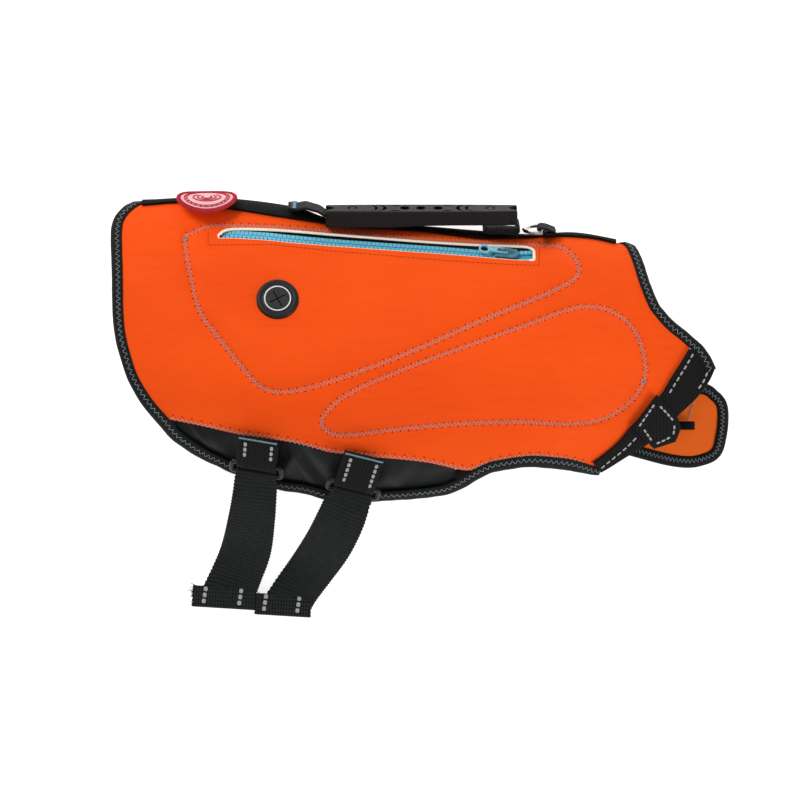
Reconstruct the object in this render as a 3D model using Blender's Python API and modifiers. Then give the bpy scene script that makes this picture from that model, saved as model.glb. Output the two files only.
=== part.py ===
"""Dog life jacket: a padded neoprene jacket lying on its far side, its hollow open at neck, rear and belly.

+X points to the neck, +Y to the spine and +Z up from the surface that the jacket lies on.
The tables are in millimetres and the meshes in metres.  The cloth has two coordinates of its own:
x along the body, and w across it, where (w / 10) squared is the drop below the spine ridge.
w is positive on the near (upper) side and negative on the far side, which lies on the surface.
"""
import math

import bmesh
import bpy
from mathutils import Matrix, Vector

MM = 0.001
GAP = 0.3                    # clearance between neighbouring pieces

CLOTH = 3.2                  # bare neoprene wall
PAD_DEPTH = 4.5              # extra wall where a foam pad is sewn in
PAD_RISE = 3.0               # how far a pad swells outwards
PAD_SHOULDER = 9.0           # distance over which it swells
NYLON = 1.4                  # belly flap wall
NYLON_SET_BACK = 1.6         # the flap is sewn behind the neoprene's face
FAR_LIFT = 2.2               # the far flap lies above the two straps

BINDING = 6.3                # visible width of the edge binding
BINDING_GAP = 0.5            # its clearance from the cloth edge
BINDING_RAISE = 0.9          # how far it stands above the cloth
WEBBING = 1.6                # webbing thickness
BAND_WIDTH = 25.0
BAND_GAP = 0.7               # between the spine band and the panels under it
TAB_WIDTH = 24.0
RING_WIRE = 3.2              # bar of a belly ring

PROFILE = 1.5                # exponent of the section between ridge and crown
FALL_RUN = 60.0              # run below the crown over which belly_fall is measured
FAR_NARROW = 0.015           # the far side lies this share inside the near one, along the body
FAR_TURN = 20.0              # drop below the ridge over which it draws in
FAR_SHORT = 0.955            # and this much shorter across it

GRIP_LENGTH = 114.0
GRIP_WIDTH = 25.0
GRIP_DEPTH = 6.2
GRIP_CENTRE = (12.9, 75.5, 26.0)
ROLL = math.radians(12)      # handle, leash ring and badge lean this far towards the near side

TAPE_LIFT = -1.2             # top of the zip tape, below the cloth's face
TAPE_DEPTH = 1.8
PORT_CENTRE = (-73.0, 23.0)
PORT_RADIUS = 12.6
PORT_BARREL = 7.5
SLIDER_CENTRE = (63.6, 50.9)
SLIDER_LIFT = 1.3            # middle of the slider above the cloth's face
LEASH_X = 85.0
LEASH_WIRE = 1.2
BADGE_CENTRE = (-116.2, 84.4, 29.8)
BADGE_RADIUS = 18.2

# One row a station: cloth ridge, height of the ridge, drop of the crown below the ridge,
# rise of the crown above the ridge, and fall from the crown over FALL_RUN.
BODY_COLUMNS = ("x", "ridge_y", "ridge_z", "crown_drop", "crown_rise", "belly_fall")
BODY = (
    (-190, 82.0, 14.0, 84, 34, 20),
    (-150, 83.0, 17.0, 90, 42, 24),
    (-120, 84.3, 19.0, 95, 48, 27),
    (-93, 82.6, 20.0, 98, 52, 30),
    (-62, 78.0, 21.0, 101, 54, 32),
    (-50, 73.6, 21.5, 101, 54, 32),
    (-41, 70.2, 22.0, 101, 54, 33),
    (-24, 68.0, 22.0, 101, 55, 33),
    (12, 66.8, 22.0, 101, 55, 33),
    (42, 64.4, 22.0, 99, 54, 33),
    (78, 61.8, 21.0, 95, 51, 31),
    (105, 63.0, 20.0, 92, 46, 29),
    (135, 58.0, 18.0, 84, 38, 26),
    (165, 52.0, 16.0, 76, 31, 24),
    (200, 45.0, 14.0, 70, 25, 22),
)

# Edges of the cut pieces, seen square to the near side.
REAR_EDGE = (
    (-159.0, 79.0), (-165.0, 72.0), (-167.4, 64.0), (-167.0, 40.0), (-166.4, 18.0), (-165.0, 4.0),
    (-162.0, -8.5), (-157.4, -22.0), (-149.0, -36.0), (-139.2, -47.4),
)
NECK_EDGE = (
    (134.6, 56.0), (138.6, 50.0), (144.0, 36.0), (149.4, 21.6), (154.6, 13.8), (161.0, 6.8),
    (168.5, 0.8), (174.0, -4.2),
)
FRONT_EDGE = (
    (174.0, -4.2), (169.0, -14.0), (162.0, -25.5), (153.0, -38.0), (140.0, -52.0), (128.0, -64.5),
    (115.0, -76.0),
)
SEAM_EDGE = (
    (-139.2, -47.4), (-112.8, -52.8), (-93.6, -57.0), (-70.8, -60.2), (-45.0, -66.4), (-32.4, -68.4),
    (0.0, -71.4), (18.4, -73.7), (39.6, -78.0), (50.0, -75.2), (58.8, -72.6), (78.0, -70.0), (96.4, -71.4),
    (115.0, -76.0),
)
HEM_EDGE = (
    (-139.2, -47.8), (-133.0, -55.0), (-126.0, -60.6), (-117.0, -66.4), (-108.0, -70.8), (-96.0, -76.0),
    (-72.0, -84.2), (-48.0, -88.4), (-12.0, -90.6), (6.0, -89.6), (24.0, -87.4), (33.0, -84.0), (40.0, -79.9),
)
FLAP_COLUMNS = ("x", "top_y", "hem_y")
FLAP = (
    (-133.0, -48.8, -54.6),
    (-117.0, -52.0, -66.0),
    (-96.0, -56.5, -75.6),
    (-72.0, -60.1, -83.8),
    (-48.0, -65.8, -88.0),
    (-24.0, -69.4, -89.8),
    (0.0, -71.5, -89.9),
    (18.0, -73.8, -88.2),
    (31.0, -76.9, -84.4),
)

# Stitch lines of the two foam pads.
UPPER_PAD = (
    (-129, 60), (-124, 64.5), (-114.8, 68.6), (-92.4, 68.4), (-49.2, 64.2), (0, 60), (36, 58), (75.6, 58.2),
    (86.4, 58.2), (96.6, 56), (104, 51), (107.4, 43), (103.8, 36), (86.4, 27), (49.8, 12), (3.6, -8.4),
    (-45.3, -26.2), (-69.6, -31.2), (-82, -28.6), (-91.8, -19.2), (-109.5, 3), (-119, 16), (-124.2, 33.6),
)
LOWER_PAD = (
    (-46.6, -50.7), (-44.1, -43.8), (-29.4, -31.8), (10.8, -14.4), (70.8, 7.2), (101.4, 18.3), (112.2, 19.8),
    (124, 18.4), (136, 11), (143.4, 0), (147, -16.8), (144.5, -28), (135.3, -39.4), (119.4, -48), (100, -50.4),
    (73.2, -49.2), (36.6, -50.2), (0, -53.4), (-30.6, -57), (-41.5, -55.8),
)

ZIP_COLUMNS = ("x", "top_y", "low_y")
ZIP = (
    (-108.6, 61.4, 59.4),
    (-105.5, 64.4, 59.4),
    (-100.0, 65.9, 59.3),
    (-80.0, 65.8, 58.0),
    (-64.8, 64.9, 56.4),
    (-36.0, 62.4, 54.0),
    (0.0, 59.8, 51.4),
    (33.0, 57.4, 49.0),
    (53.0, 56.4, 47.3),
    (71.0, 56.2, 46.0),
    (77.0, 55.2, 46.0),
    (80.4, 52.6, 46.3),
)
BAND_COLUMNS = ("x", "near_y")
BAND = (
    (-151, 80.8), (-132, 82.2), (-96, 76.8), (-75, 73.6), (-42, 67.8), (-24, 66.0), (12, 63.4), (48, 60.4),
    (66, 60.2), (93, 61.6), (111, 59.8), (120, 58.8), (133, 55.4),
)

# The near front webbing: its edge on the panel and its free edge.
WEBBING_COLUMNS = ("on_x", "on_y", "free_x", "free_y")
FRONT_WEBBING = (
    (173.1, -5.4, 189.0, -16.4),
    (168.4, -13.0, 185.0, -24.8),
    (162.0, -22.8, 177.6, -34.4),
    (156.6, -31.8, 166.4, -44.8),
    (148.0, -41.4, 156.8, -54.6),
    (138.0, -51.6, 146.2, -63.0),
    (131.2, -60.0, 135.6, -69.2),
    (122.4, -67.8, 126.4, -75.0),
    (115.4, -72.8, 120.2, -78.6),
)
CHEST_TAB = ((152.4, -32.6), (165.4, -45.6), (167.7, -51.4), (164.4, -59.4), (151.2, -63.5), (137.8, -51.4))

# The chest flap, seen from above, with its own lean towards the surface.
CHEST_TOP = ((126.0, -42.0), (146.0, -35.5), (166.0, -31.6), (182.4, -31.8))
CHEST_RIGHT = (
    (182.4, -31.8), (188.4, -34.4), (192.2, -39.6), (192.2, -48.6), (190.2, -57.6), (187.4, -65.4),
    (182.0, -69.6),
)
CHEST_LOW = ((122.0, -58.0), (134.0, -61.6), (146.4, -65.2), (162.6, -69.4), (174.0, -70.8), (182.0, -69.6))
CHEST_LEFT = ((126.0, -42.0), (123.4, -50.0), (122.0, -58.0))
CHEST_LEAN = 0.17
CHEST_HIGH_Z = 21.0
CHEST_HIGH_X = 122.0
CHEST_CLOTH = 3.2

# At each belly ring: name, ring centre x and y, turn of the ring in degrees, and the top of its tab.
BELLY = (
    ("rear", -85.0, -74.2, 3.0, -57.0),
    ("front", -27.6, -86.0, 14.0, -67.0),
)
# Middle line of each hanging strap from its ring to its folded end: x, y and half width.
TAILS = {
    "rear": ((-85.8, -79.5, 12.8), (-87.2, -93.0, 13.2), (-89.0, -106.6, 14.0), (-92.6, -125.4, 15.0),
             (-98.6, -141.0, 15.4), (-106.8, -158.0, 16.8)),
    "front": ((-30.4, -94.0, 13.2), (-34.6, -105.0, 14.4), (-43.4, -121.0, 15.4), (-54.6, -137.0, 15.0),
              (-64.0, -150.0, 14.6), (-71.0, -163.6, 15.8)),
}
TAIL_END_SIDE = (0.998, -0.06, 0.0)     # the folded ends lie across the straps at a slant
TAIL_HEIGHTS = (0.0, 0.12, 0.36, 0.70, 0.92, 1.0)    # share of the way down to the surface


# ---------------------------------------------------------------- curves and tables
def named(columns, rows, name):
    """One named column of a table."""
    place = columns.index(name)
    return [row[place] for row in rows]


def hermite(a, b, slope_a, slope_b, run, f):
    """Cubic from a to b over a run, with the given slopes."""
    return ((2 * f ** 3 - 3 * f ** 2 + 1) * a + (f ** 3 - 2 * f ** 2 + f) * run * slope_a
            + (3 * f ** 2 - 2 * f ** 3) * b + (f ** 3 - f ** 2) * run * slope_b)


def read_table(columns, rows, name, x):
    """A named column at x, on a smooth curve through the rows."""
    xs, ys = named(columns, rows, columns[0]), named(columns, rows, name)
    i = max(0, min(len(xs) - 2, sum(1 for value in xs if value <= x) - 1))

    def slope(k):
        low, high = max(0, k - 1), min(len(xs) - 1, k + 1)
        return (ys[high] - ys[low]) / (xs[high] - xs[low])

    run = xs[i + 1] - xs[i]
    f = max(0.0, min(1.0, (x - xs[i]) / run))
    return hermite(ys[i], ys[i + 1], slope(i), slope(i + 1), run, f)


def curve_through(points, closed=False, steps=10):
    """A dense smooth line through a few points of any size."""
    points = [Vector(p) for p in points]
    count = len(points)
    spans = count if closed else count - 1
    line = []
    for i in range(spans):
        if closed:
            a, b, c, d = (points[(i + k) % count] for k in (-1, 0, 1, 2))
        else:
            a, b, c, d = (points[max(0, min(count - 1, i + k))] for k in (-1, 0, 1, 2))
        for k in range(steps):
            f = k / steps
            line.append(0.5 * (2 * b + (c - a) * f + (2 * a - 5 * b + 4 * c - d) * f ** 2
                               + (3 * b - a - 3 * c + d) * f ** 3))
    if not closed:
        line.append(points[-1])
    return line


def spread(line, count):
    """The same line with count points at even distances."""
    reach = [0.0]
    for a, b in zip(line, line[1:]):
        reach.append(reach[-1] + (b - a).length)
    result, k = [], 0
    for i in range(count):
        want = reach[-1] * i / (count - 1)
        while k < len(line) - 2 and reach[k + 1] < want:
            k += 1
        run = max(reach[k + 1] - reach[k], 1e-9)
        result.append(line[k].lerp(line[k + 1], min(1.0, (want - reach[k]) / run)))
    return result


# ---------------------------------------------------------------- the form of the cloth
def section(x, w):
    """A point of the outer skin at station x and cloth coordinate w."""
    ridge_y, ridge_z, crown_drop, crown_rise, fall = (read_table(BODY_COLUMNS, BODY, name, x)
                                                      for name in BODY_COLUMNS[1:])
    drop = (w / 10) ** 2
    if w < 0:
        turn = min(drop / ridge_z, 1.0)
        z = ridge_z * (1 - math.sqrt(1 - (1 - turn) ** 2))
    elif drop < crown_drop:
        z = ridge_z + crown_rise * (1 - (1 - drop / crown_drop) ** PROFILE) ** (1 / PROFILE)
    else:
        z = ridge_z + crown_rise - fall * ((drop - crown_drop) / FALL_RUN) ** 2
    return Vector((x, ridge_y - drop, z))


def outward(x, w):
    """Unit normal of the outer skin."""
    along = section(x + 1, w) - section(x - 1, w)
    across = section(x, w + 0.4) - section(x, w - 0.4)
    return across.cross(along).normalized()


def skin(x, w, lift=0.0):
    """A point moved out from the skin by lift."""
    return section(x, w) + outward(x, w) * lift


def pin(x, y):
    """Cloth coordinates of a point of the near side seen from above."""
    drop = read_table(BODY_COLUMNS, BODY, "ridge_y", x) - y
    return Vector((x, 10 * math.sqrt(max(drop, 0.01))))


def tuck(spot):
    """The matching spot of the far side, a little inside the near one."""
    turn = min(1.0, (spot[1] / 10) ** 2 / FAR_TURN)
    return Vector((spot[0] * (1 - FAR_NARROW * turn), -spot[1] * math.sqrt(FAR_SHORT)))


def inside(point, outline):
    """Whether a point lies in a closed outline."""
    hit = False
    for a, b in zip(outline, outline[1:] + outline[:1]):
        if (a[1] > point[1]) != (b[1] > point[1]):
            if point[0] < a[0] + (point[1] - a[1]) * (b[0] - a[0]) / (b[1] - a[1]):
                hit = not hit
    return hit


def edge_distance(point, outline):
    """Distance from a point to a closed outline."""
    best = 1e9
    for a, b in zip(outline, outline[1:] + outline[:1]):
        run = b - a
        f = max(0.0, min(1.0, (point - a).dot(run) / max(run.length_squared, 1e-9)))
        best = min(best, (point - a - run * f).length)
    return best


PADS = [curve_through(outline, closed=True, steps=3) for outline in (UPPER_PAD, LOWER_PAD)]


def swell(x, y):
    """0 outside the pads, rising to 1 in the middle of a pad."""
    point = Vector((x, y))
    for outline in PADS:
        if inside(point, outline):
            f = min(1.0, edge_distance(point, outline) / PAD_SHOULDER)
            return math.sin(f * math.pi / 2)
    return 0.0


# ---------------------------------------------------------------- building solids
def material(name, colour, roughness, metallic=0.0):
    """A Principled finish."""
    finish = bpy.data.materials.new(name)
    finish.use_nodes = True
    shader = finish.node_tree.nodes["Principled BSDF"]
    shader.inputs["Base Color"].default_value = (*colour, 1)
    shader.inputs["Roughness"].default_value = roughness
    shader.inputs["Metallic"].default_value = metallic
    return finish


def place(name, mesh, finish, matrix=None):
    """An object in the jacket's collection."""
    item = bpy.data.objects.new(name, mesh)
    item.data.materials.append(finish)
    item.matrix_world = matrix or Matrix()
    JACKET.objects.link(item)
    return item


def wall(name, outer, inner, finish, home=None):
    """A closed wall between two grids of points (mm) with the same rows and columns."""
    home = home or JACKET
    form = bmesh.new()
    top, under = ([[form.verts.new(p * MM) for p in row] for row in grid] for grid in (outer, inner))
    rows, columns = len(outer), len(outer[0])
    for i in range(rows - 1):
        for j in range(columns - 1):
            form.faces.new((top[i][j], top[i + 1][j], top[i + 1][j + 1], top[i][j + 1]))
            form.faces.new((under[i][j], under[i][j + 1], under[i + 1][j + 1], under[i + 1][j]))
    for i in range(rows - 1):
        for j in (0, columns - 1):
            form.faces.new((top[i][j], top[i + 1][j], under[i + 1][j], under[i][j]))
    for j in range(columns - 1):
        for i in (0, rows - 1):
            form.faces.new((top[i][j], top[i][j + 1], under[i][j + 1], under[i][j]))
    bmesh.ops.recalc_face_normals(form, faces=form.faces)
    mesh = bpy.data.meshes.new(name)
    form.to_mesh(mesh)
    form.free()
    item = bpy.data.objects.new(name, mesh)
    mesh.materials.append(finish)
    home.objects.link(item)
    return item


def patch(top, right, low, left, columns, rows):
    """A grid of cloth coordinates spread between four edges."""
    top, low = spread(top, columns), spread(low, columns)
    left, right = spread(left, rows), spread(right, rows)
    grid = []
    for i in range(columns):
        s = i / (columns - 1)
        line = []
        for j in range(rows):
            t = j / (rows - 1)
            corners = ((1 - s) * (1 - t) * top[0] + s * (1 - t) * top[-1]
                       + (1 - s) * t * low[0] + s * t * low[-1])
            line.append((1 - t) * top[i] + t * low[i] + (1 - s) * left[j] + s * right[j] - corners)
        grid.append(line)
    return grid


def frames(points, normals):
    """For each point of a line: the point, its normal, and the direction to its right."""
    result = []
    for i, point in enumerate(points):
        ahead = points[min(i + 1, len(points) - 1)] - points[max(i - 1, 0)]
        result.append((point, normals[i], ahead.cross(normals[i]).normalized()))
    return result


def edge_binding(name, line, raises, depth, finish):
    """A binding folded over a cloth edge: a crowned strip beyond the edge line."""
    outer, inner = [], []
    shares = (0.0, 0.35, 0.8, 1.0)
    crown = (0.6, 1.0, 0.7, -0.6)
    for (point, normal, side), lift in zip(line, raises):
        rise = [lift * c for c in crown] if lift > 0 else [lift, lift, lift, lift - 0.7]
        out = [point + side * (BINDING_GAP + BINDING * f) + normal * h for f, h in zip(shares, rise)]
        sunk = depth - min(lift, 0.0)
        back = [point + side * (BINDING_GAP + BINDING * f) - normal * (sunk - 0.8 * (f == 1.0)) for f in shares]
        outer.append(out)
        inner.append(back)
    return wall(name, outer, inner, finish)


def ribbon(name, path, widthways, halves, thickness, finish):
    """A flat webbing that follows a path, its width along one direction at each point."""
    outer, inner = [], []
    for i, point in enumerate(path):
        ahead = (path[min(i + 1, len(path) - 1)] - path[max(i - 1, 0)]).normalized()
        wide = widthways[i].normalized()
        flat = wide.cross(ahead).normalized()
        outer.append([point + wide * halves[i] * k + flat * thickness / 2 for k in (-1, 1)])
        inner.append([point + wide * halves[i] * k - flat * thickness / 2 for k in (-1, 1)])
    return wall(name, outer, inner, finish)


def cut(item, cutter):
    """Take a cutter out of an item."""
    cutter.hide_render = True
    cutter.display_type = "WIRE"
    step = item.modifiers.new("cut_" + cutter.name, "BOOLEAN")
    step.operation = "DIFFERENCE"
    step.solver = "EXACT"
    step.object = cutter


def wire_mesh(name, points, radius, closed, finish, matrix=None, resolution=2):
    """A round bar along points, as a mesh."""
    line = bpy.data.curves.new(name, "CURVE")
    line.dimensions = "3D"
    line.bevel_depth = radius * MM
    line.bevel_resolution = resolution
    line.use_fill_caps = not closed
    spline = line.splines.new("POLY")
    spline.points.add(len(points) - 1)
    for spot, point in zip(spline.points, points):
        spot.co = (*(point * MM), 1)
    spline.use_cyclic_u = closed
    draft = bpy.data.objects.new(name + "_line", line)
    JACKET.objects.link(draft)
    bpy.context.view_layer.update()
    mesh = bpy.data.meshes.new_from_object(draft.evaluated_get(bpy.context.evaluated_depsgraph_get()))
    bpy.data.objects.remove(draft)
    form = bmesh.new()
    form.from_mesh(mesh)
    bmesh.ops.remove_doubles(form, verts=form.verts, dist=1e-6)
    bmesh.ops.recalc_face_normals(form, faces=form.faces)
    form.to_mesh(mesh)
    form.free()
    mesh.name = name
    mesh.materials.clear()
    return place(name, mesh, finish, matrix)


def block(name, size, finish, matrix, bevel=0.0, segments=2):
    """A box with rounded edges."""
    form = bmesh.new()
    bmesh.ops.create_cube(form, size=1.0)
    bmesh.ops.scale(form, vec=Vector(size) * MM, verts=form.verts)
    mesh = bpy.data.meshes.new(name)
    form.to_mesh(mesh)
    form.free()
    item = place(name, mesh, finish, matrix)
    if bevel:
        step = item.modifiers.new("rounding", "BEVEL")
        step.width = bevel * MM
        step.segments = segments
    return item


def turned(name, profile, finish, matrix, home=None, steps=32):
    """A profile of (radius, height) pairs, from top to bottom, turned about its local Z."""
    mesh = bpy.data.meshes.new(name)
    points = [Vector((r, 0, h)) * MM for r, h in profile]
    mesh.from_pydata(points, [(i, i + 1) for i in range(len(points) - 1)], [])
    item = bpy.data.objects.new(name, mesh)
    mesh.materials.append(finish)
    item.matrix_world = matrix
    (home or JACKET).objects.link(item)
    step = item.modifiers.new("turn", "SCREW")
    step.steps = steps
    step.render_steps = steps
    step.use_merge_vertices = True
    step.merge_threshold = 0.00001
    return item


def standing(origin, along, up):
    """A frame at origin (mm) whose local X runs along and whose local Z points up."""
    z = up.normalized()
    x = (along - z * along.dot(z)).normalized()
    y = z.cross(x)
    turn = Matrix((x, y, z)).transposed().to_4x4()
    return Matrix.Translation(origin * MM) @ turn


# ---------------------------------------------------------------- cloth pieces
def panel_outline():
    """Edges of the near panel in cloth coordinates: top, front, low, rear."""
    ridge = [Vector((x, 1.0)) for x in range(-152, 132, 12)]
    top = ridge + [Vector((131.0, 1.0))] + [pin(*p) for p in NECK_EDGE]
    rear = [Vector((-152.0, 1.0))] + [pin(*p) for p in REAR_EDGE]
    return (curve_through(top, steps=4), curve_through([pin(*p) for p in FRONT_EDGE]),
            curve_through([pin(*p) for p in SEAM_EDGE]), curve_through(rear))


def build_panels(finish):
    """The near and far neoprene panels, with a foam pad's swelling inside each stitch line."""
    near_grid = patch(*panel_outline(), 44, 20)
    outer, inner = [], []
    for line in near_grid:
        rises = [swell(x, section(x, w).y) for x, w in line]
        outer.append([skin(x, w, PAD_RISE * f) for (x, w), f in zip(line, rises)])
        inner.append([skin(x, w, -CLOTH - PAD_DEPTH * f) for (x, w), f in zip(line, rises)])
    near = wall("panel_near", outer, inner, finish)

    far_grid = patch(*panel_outline(), 28, 12)
    outer, inner = [], []
    for line in far_grid:
        spots = [tuck(spot) for spot in line]
        rises = [swell(x, section(x, w).y) for x, w in line]
        outer.append([skin(x, w) for x, w in spots])
        inner.append([skin(x, w, -CLOTH - PAD_DEPTH * f) for (x, w), f in zip(spots, rises)])
    wall("panel_far", outer, inner, finish)
    return near


def build_flaps(finish):
    """The smooth nylon crescents between the panels' lower seams and the hems."""
    stations = spread([Vector((x, 0)) for x in (-132.0, 30.0)], 18)
    for name, side, outer_lift in (("belly_flap_near", 1, -NYLON_SET_BACK), ("belly_flap_far", -1, -FAR_LIFT)):
        outer, inner = [], []
        for x, _ in stations:
            high = pin(x, read_table(FLAP_COLUMNS, FLAP, "top_y", x) - 0.8)
            low = pin(x, read_table(FLAP_COLUMNS, FLAP, "hem_y", x) + 0.8)
            line = [high.lerp(low, k / 3) for k in range(4)]
            if side < 0:
                line = [tuck(spot) for spot in line]
            outer.append([skin(u, w, outer_lift) for u, w in line])
            inner.append([skin(u, w, outer_lift - NYLON) for u, w in line])
        wall(name, outer, inner, finish)


def surface_line(spots):
    """Skin points and normals along cloth coordinates."""
    return [skin(x, w) for x, w in spots], [outward(x, w) for x, w in spots]


def both_sides(near):
    """A near edge that starts at the ridge, continued over the ridge along the far side."""
    return list(reversed(near)) + [tuck(spot) for spot in near]


def over_straps(x, w):
    """1 along the far hem where the straps pass under it, 0 elsewhere."""
    ends = min((x + 146) / 16, (48 - x) / 12, (-w - 110) / 8)
    return max(0.0, min(1.0, ends))


def build_bindings(finish):
    """The hem binding runs up both hems and round the rear; the neck binding goes round the neck."""
    rear = [Vector((-152.6, 1.0))] + [pin(*p) for p in REAR_EDGE]
    hem = [pin(*p) for p in HEM_EDGE[1:]]
    front = [pin(*p) for p in SEAM_EDGE[9:]]
    near = spread(curve_through(rear + hem + front, steps=6), 56)
    spots = list(reversed(both_sides(near)))
    points, normals = surface_line(spots)
    raises = [BINDING_RAISE if spot[1] > 0 else -FAR_LIFT * over_straps(*spot) for spot in spots]
    edge_binding("binding_hem", frames(points, normals), raises, CLOTH, finish)

    neck = spread(curve_through([Vector((131.8, 1.0))] + [pin(*p) for p in NECK_EDGE[:-1]], steps=6), 24)
    spots = both_sides(neck)
    points, normals = surface_line(spots)
    raises = [BINDING_RAISE if spot[1] > 0 else 0.0 for spot in spots]
    edge_binding("binding_neck", frames(points, normals), raises, CLOTH, finish)


def walk_far(x, w, length):
    """The cloth coordinate reached from w by going length over the ridge towards the far side."""
    here, left = section(x, w), length
    while left > 0:
        w -= 0.5
        there = section(x, w)
        left -= (there - here).length
        here = there
    return w


def build_spine_band(finish):
    """The webbing sewn along the spine, over the joint of the two panels."""
    outer, inner = [], []
    for x, _ in spread([Vector((-149.0, 0)), Vector((130.0, 0))], 44):
        near = pin(x, read_table(BAND_COLUMNS, BAND, "near_y", x))[1]
        far = walk_far(x, near, BAND_WIDTH)
        line = [near + (far - near) * k / 8 for k in range(9)]
        outer.append([skin(x, w, BAND_GAP + WEBBING) for w in line])
        inner.append([skin(x, w, BAND_GAP) for w in line])
    return wall("spine_band", outer, inner, finish)


def build_front_webbing(finish):
    """Webbing along the front edge of each panel, from the neck corner to the hem."""
    on_edge = spread(curve_through([row[:2] for row in FRONT_WEBBING]), 18)
    free_edge = spread(curve_through([row[2:] for row in FRONT_WEBBING]), 18)
    outer, inner = [], []
    for on, free in zip(on_edge, free_edge):
        line = [pin(*on.lerp(free, k / 4)) for k in range(5)]
        outer.append([skin(x, w, 0.5 + WEBBING) for x, w in line])
        inner.append([skin(x, w, 0.5) for x, w in line])
    wall("front_webbing_near", outer, inner, finish)
    outer, inner = [], []
    for on, free in zip(on_edge, free_edge):
        line = [tuck(pin(*on.lerp(free, 0.42 + 0.52 * k / 2))) for k in range(3)]
        outer.append([skin(x, w) for x, w in line])
        inner.append([skin(x, w, -WEBBING) for x, w in line])
    wall("front_webbing_far", outer, inner, finish)

    tab = CHEST_TAB
    centre = sum((Vector(p) for p in tab), Vector((0, 0))) / len(tab)
    rings = [[centre.lerp(Vector(p), f) for p in tab] for f in (0.5, 1.0)]
    form = bmesh.new()
    layers = []
    for lift in (2.7 + WEBBING, 2.7):
        middle = form.verts.new(skin(*pin(*centre), lift) * MM)
        loops = [[form.verts.new(skin(*pin(*p), lift) * MM) for p in ring] for ring in rings]
        for k in range(len(tab)):
            n = (k + 1) % len(tab)
            form.faces.new((middle, loops[0][k], loops[0][n]))
            form.faces.new((loops[0][k], loops[1][k], loops[1][n], loops[0][n]))
        layers.append(loops[1])
    for k in range(len(tab)):
        n = (k + 1) % len(tab)
        form.faces.new((layers[0][k], layers[0][n], layers[1][n], layers[1][k]))
    bmesh.ops.recalc_face_normals(form, faces=form.faces)
    mesh = bpy.data.meshes.new("chest_tab")
    form.to_mesh(mesh)
    form.free()
    place("chest_tab", mesh, finish)


def chest_point(x, y, lift=0.0):
    """A point of the chest flap's upper face."""
    z = CHEST_HIGH_Z - CHEST_LEAN * (x - CHEST_HIGH_X) - 0.0016 * (y + 50) ** 2
    return Vector((x, y, z)) + Vector((CHEST_LEAN, 0, 1)).normalized() * lift


def build_chest_flap(orange, black):
    """The bound neoprene flap that crosses under the chest, and its small webbing loop."""
    edges = [curve_through(points) for points in (CHEST_TOP, CHEST_RIGHT, CHEST_LOW, CHEST_LEFT)]
    grid = patch(edges[0], edges[1], edges[2], edges[3], 16, 9)
    wall("chest_flap", [[chest_point(x, y) for x, y in line] for line in grid],
         [[chest_point(x, y, -CHEST_CLOTH) for x, y in line] for line in grid], orange)
    rim = [Vector(p) for p in CHEST_TOP[2:] + CHEST_RIGHT[1:] + tuple(reversed(CHEST_LOW[1:-1]))]
    spots = spread(curve_through(rim), 30)
    points = [chest_point(x, y) for x, y in spots]
    normals = [Vector((CHEST_LEAN, 0, 1)).normalized()] * len(points)
    line = [(p, n, -side) for p, n, side in frames(points, normals)]
    edge_binding("chest_flap_binding", line, [BINDING_RAISE] * len(points), CHEST_CLOTH, black)
    middle = chest_point(171.6, -51.4, 3.6)
    arc = [middle + Vector((5.2 * math.cos(a), 0, 2.2 * math.sin(a)))
           for a in (math.pi * (0.02 + 0.96 * k / 8) for k in range(9))]
    ribbon("chest_loop", arc, [Vector((0, 1, 0))] * 9, [2.6] * 9, 1.2, black)


# ---------------------------------------------------------------- belly rings and straps
def local_path(origin, along, up, pairs):
    """Points at (along, up) distances from an origin."""
    return [origin + along * a + up * b for a, b in pairs]


def half_turn(centre, radius, start, end, count):
    """Pairs on an arc, angles in degrees."""
    return [(centre[0] + radius * math.cos(math.radians(start + (end - start) * k / (count - 1))),
             centre[1] + radius * math.sin(math.radians(start + (end - start) * k / (count - 1))))
            for k in range(count)]


def build_belly_ring(row, webbing_finish, plastic):
    """A ring with the tab that holds it and the strap that is threaded through it."""
    name, ring_x, ring_y, turn, tab_y = row
    spot = pin(ring_x, ring_y)
    up = outward(*spot)
    angle = math.radians(turn)
    slope = (skin(*pin(ring_x, ring_y + 4)) - skin(*pin(ring_x, ring_y - 4))).normalized()
    across = slope.cross(up).normalized()
    up_body = (slope * math.cos(angle) + across * math.sin(angle)).normalized()
    wide = up_body.cross(up).normalized()
    wrap = RING_WIRE / 2 + GAP + WEBBING / 2
    bar_lift = wrap + WEBBING / 2 + 1.0
    centre = skin(*spot) + up * bar_lift
    half_gap = 3.6
    ring = [centre + wide * a + up_body * b for a, b in (
        (-15, 2.0), (-14.4, 3.2), (-13.2, half_gap), (13.2, half_gap), (14.4, 3.2), (15, 2.0),
        (15, -2.0), (14.4, -3.2), (13.2, -half_gap), (-13.2, -half_gap), (-14.4, -3.2), (-15, -2.0))]
    wire_mesh("belly_ring_" + name, ring, RING_WIRE / 2, True, plastic)

    tab_run = (tab_y - ring_y) / max(up_body.y, 0.2)
    bar = (half_gap, 0.0)
    low_lift, high_lift = -wrap, wrap
    pairs = [(tab_run - 1.5, low_lift)] + [(bar[0] + 3.0, low_lift)]
    pairs += half_turn(bar, wrap, 270, 90, 7)
    pairs += [(bar[0] + 3.0, high_lift), (tab_run * 0.62, high_lift * 0.6), (tab_run - 0.5, high_lift * 0.25)]
    path = local_path(centre, up_body, up, pairs)
    ribbon("belly_tab_" + name, path, [wide] * len(path), [TAB_WIDTH / 2] * len(path), 1.3, webbing_finish)
    return centre, up_body, up, wide, wrap, half_gap


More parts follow.
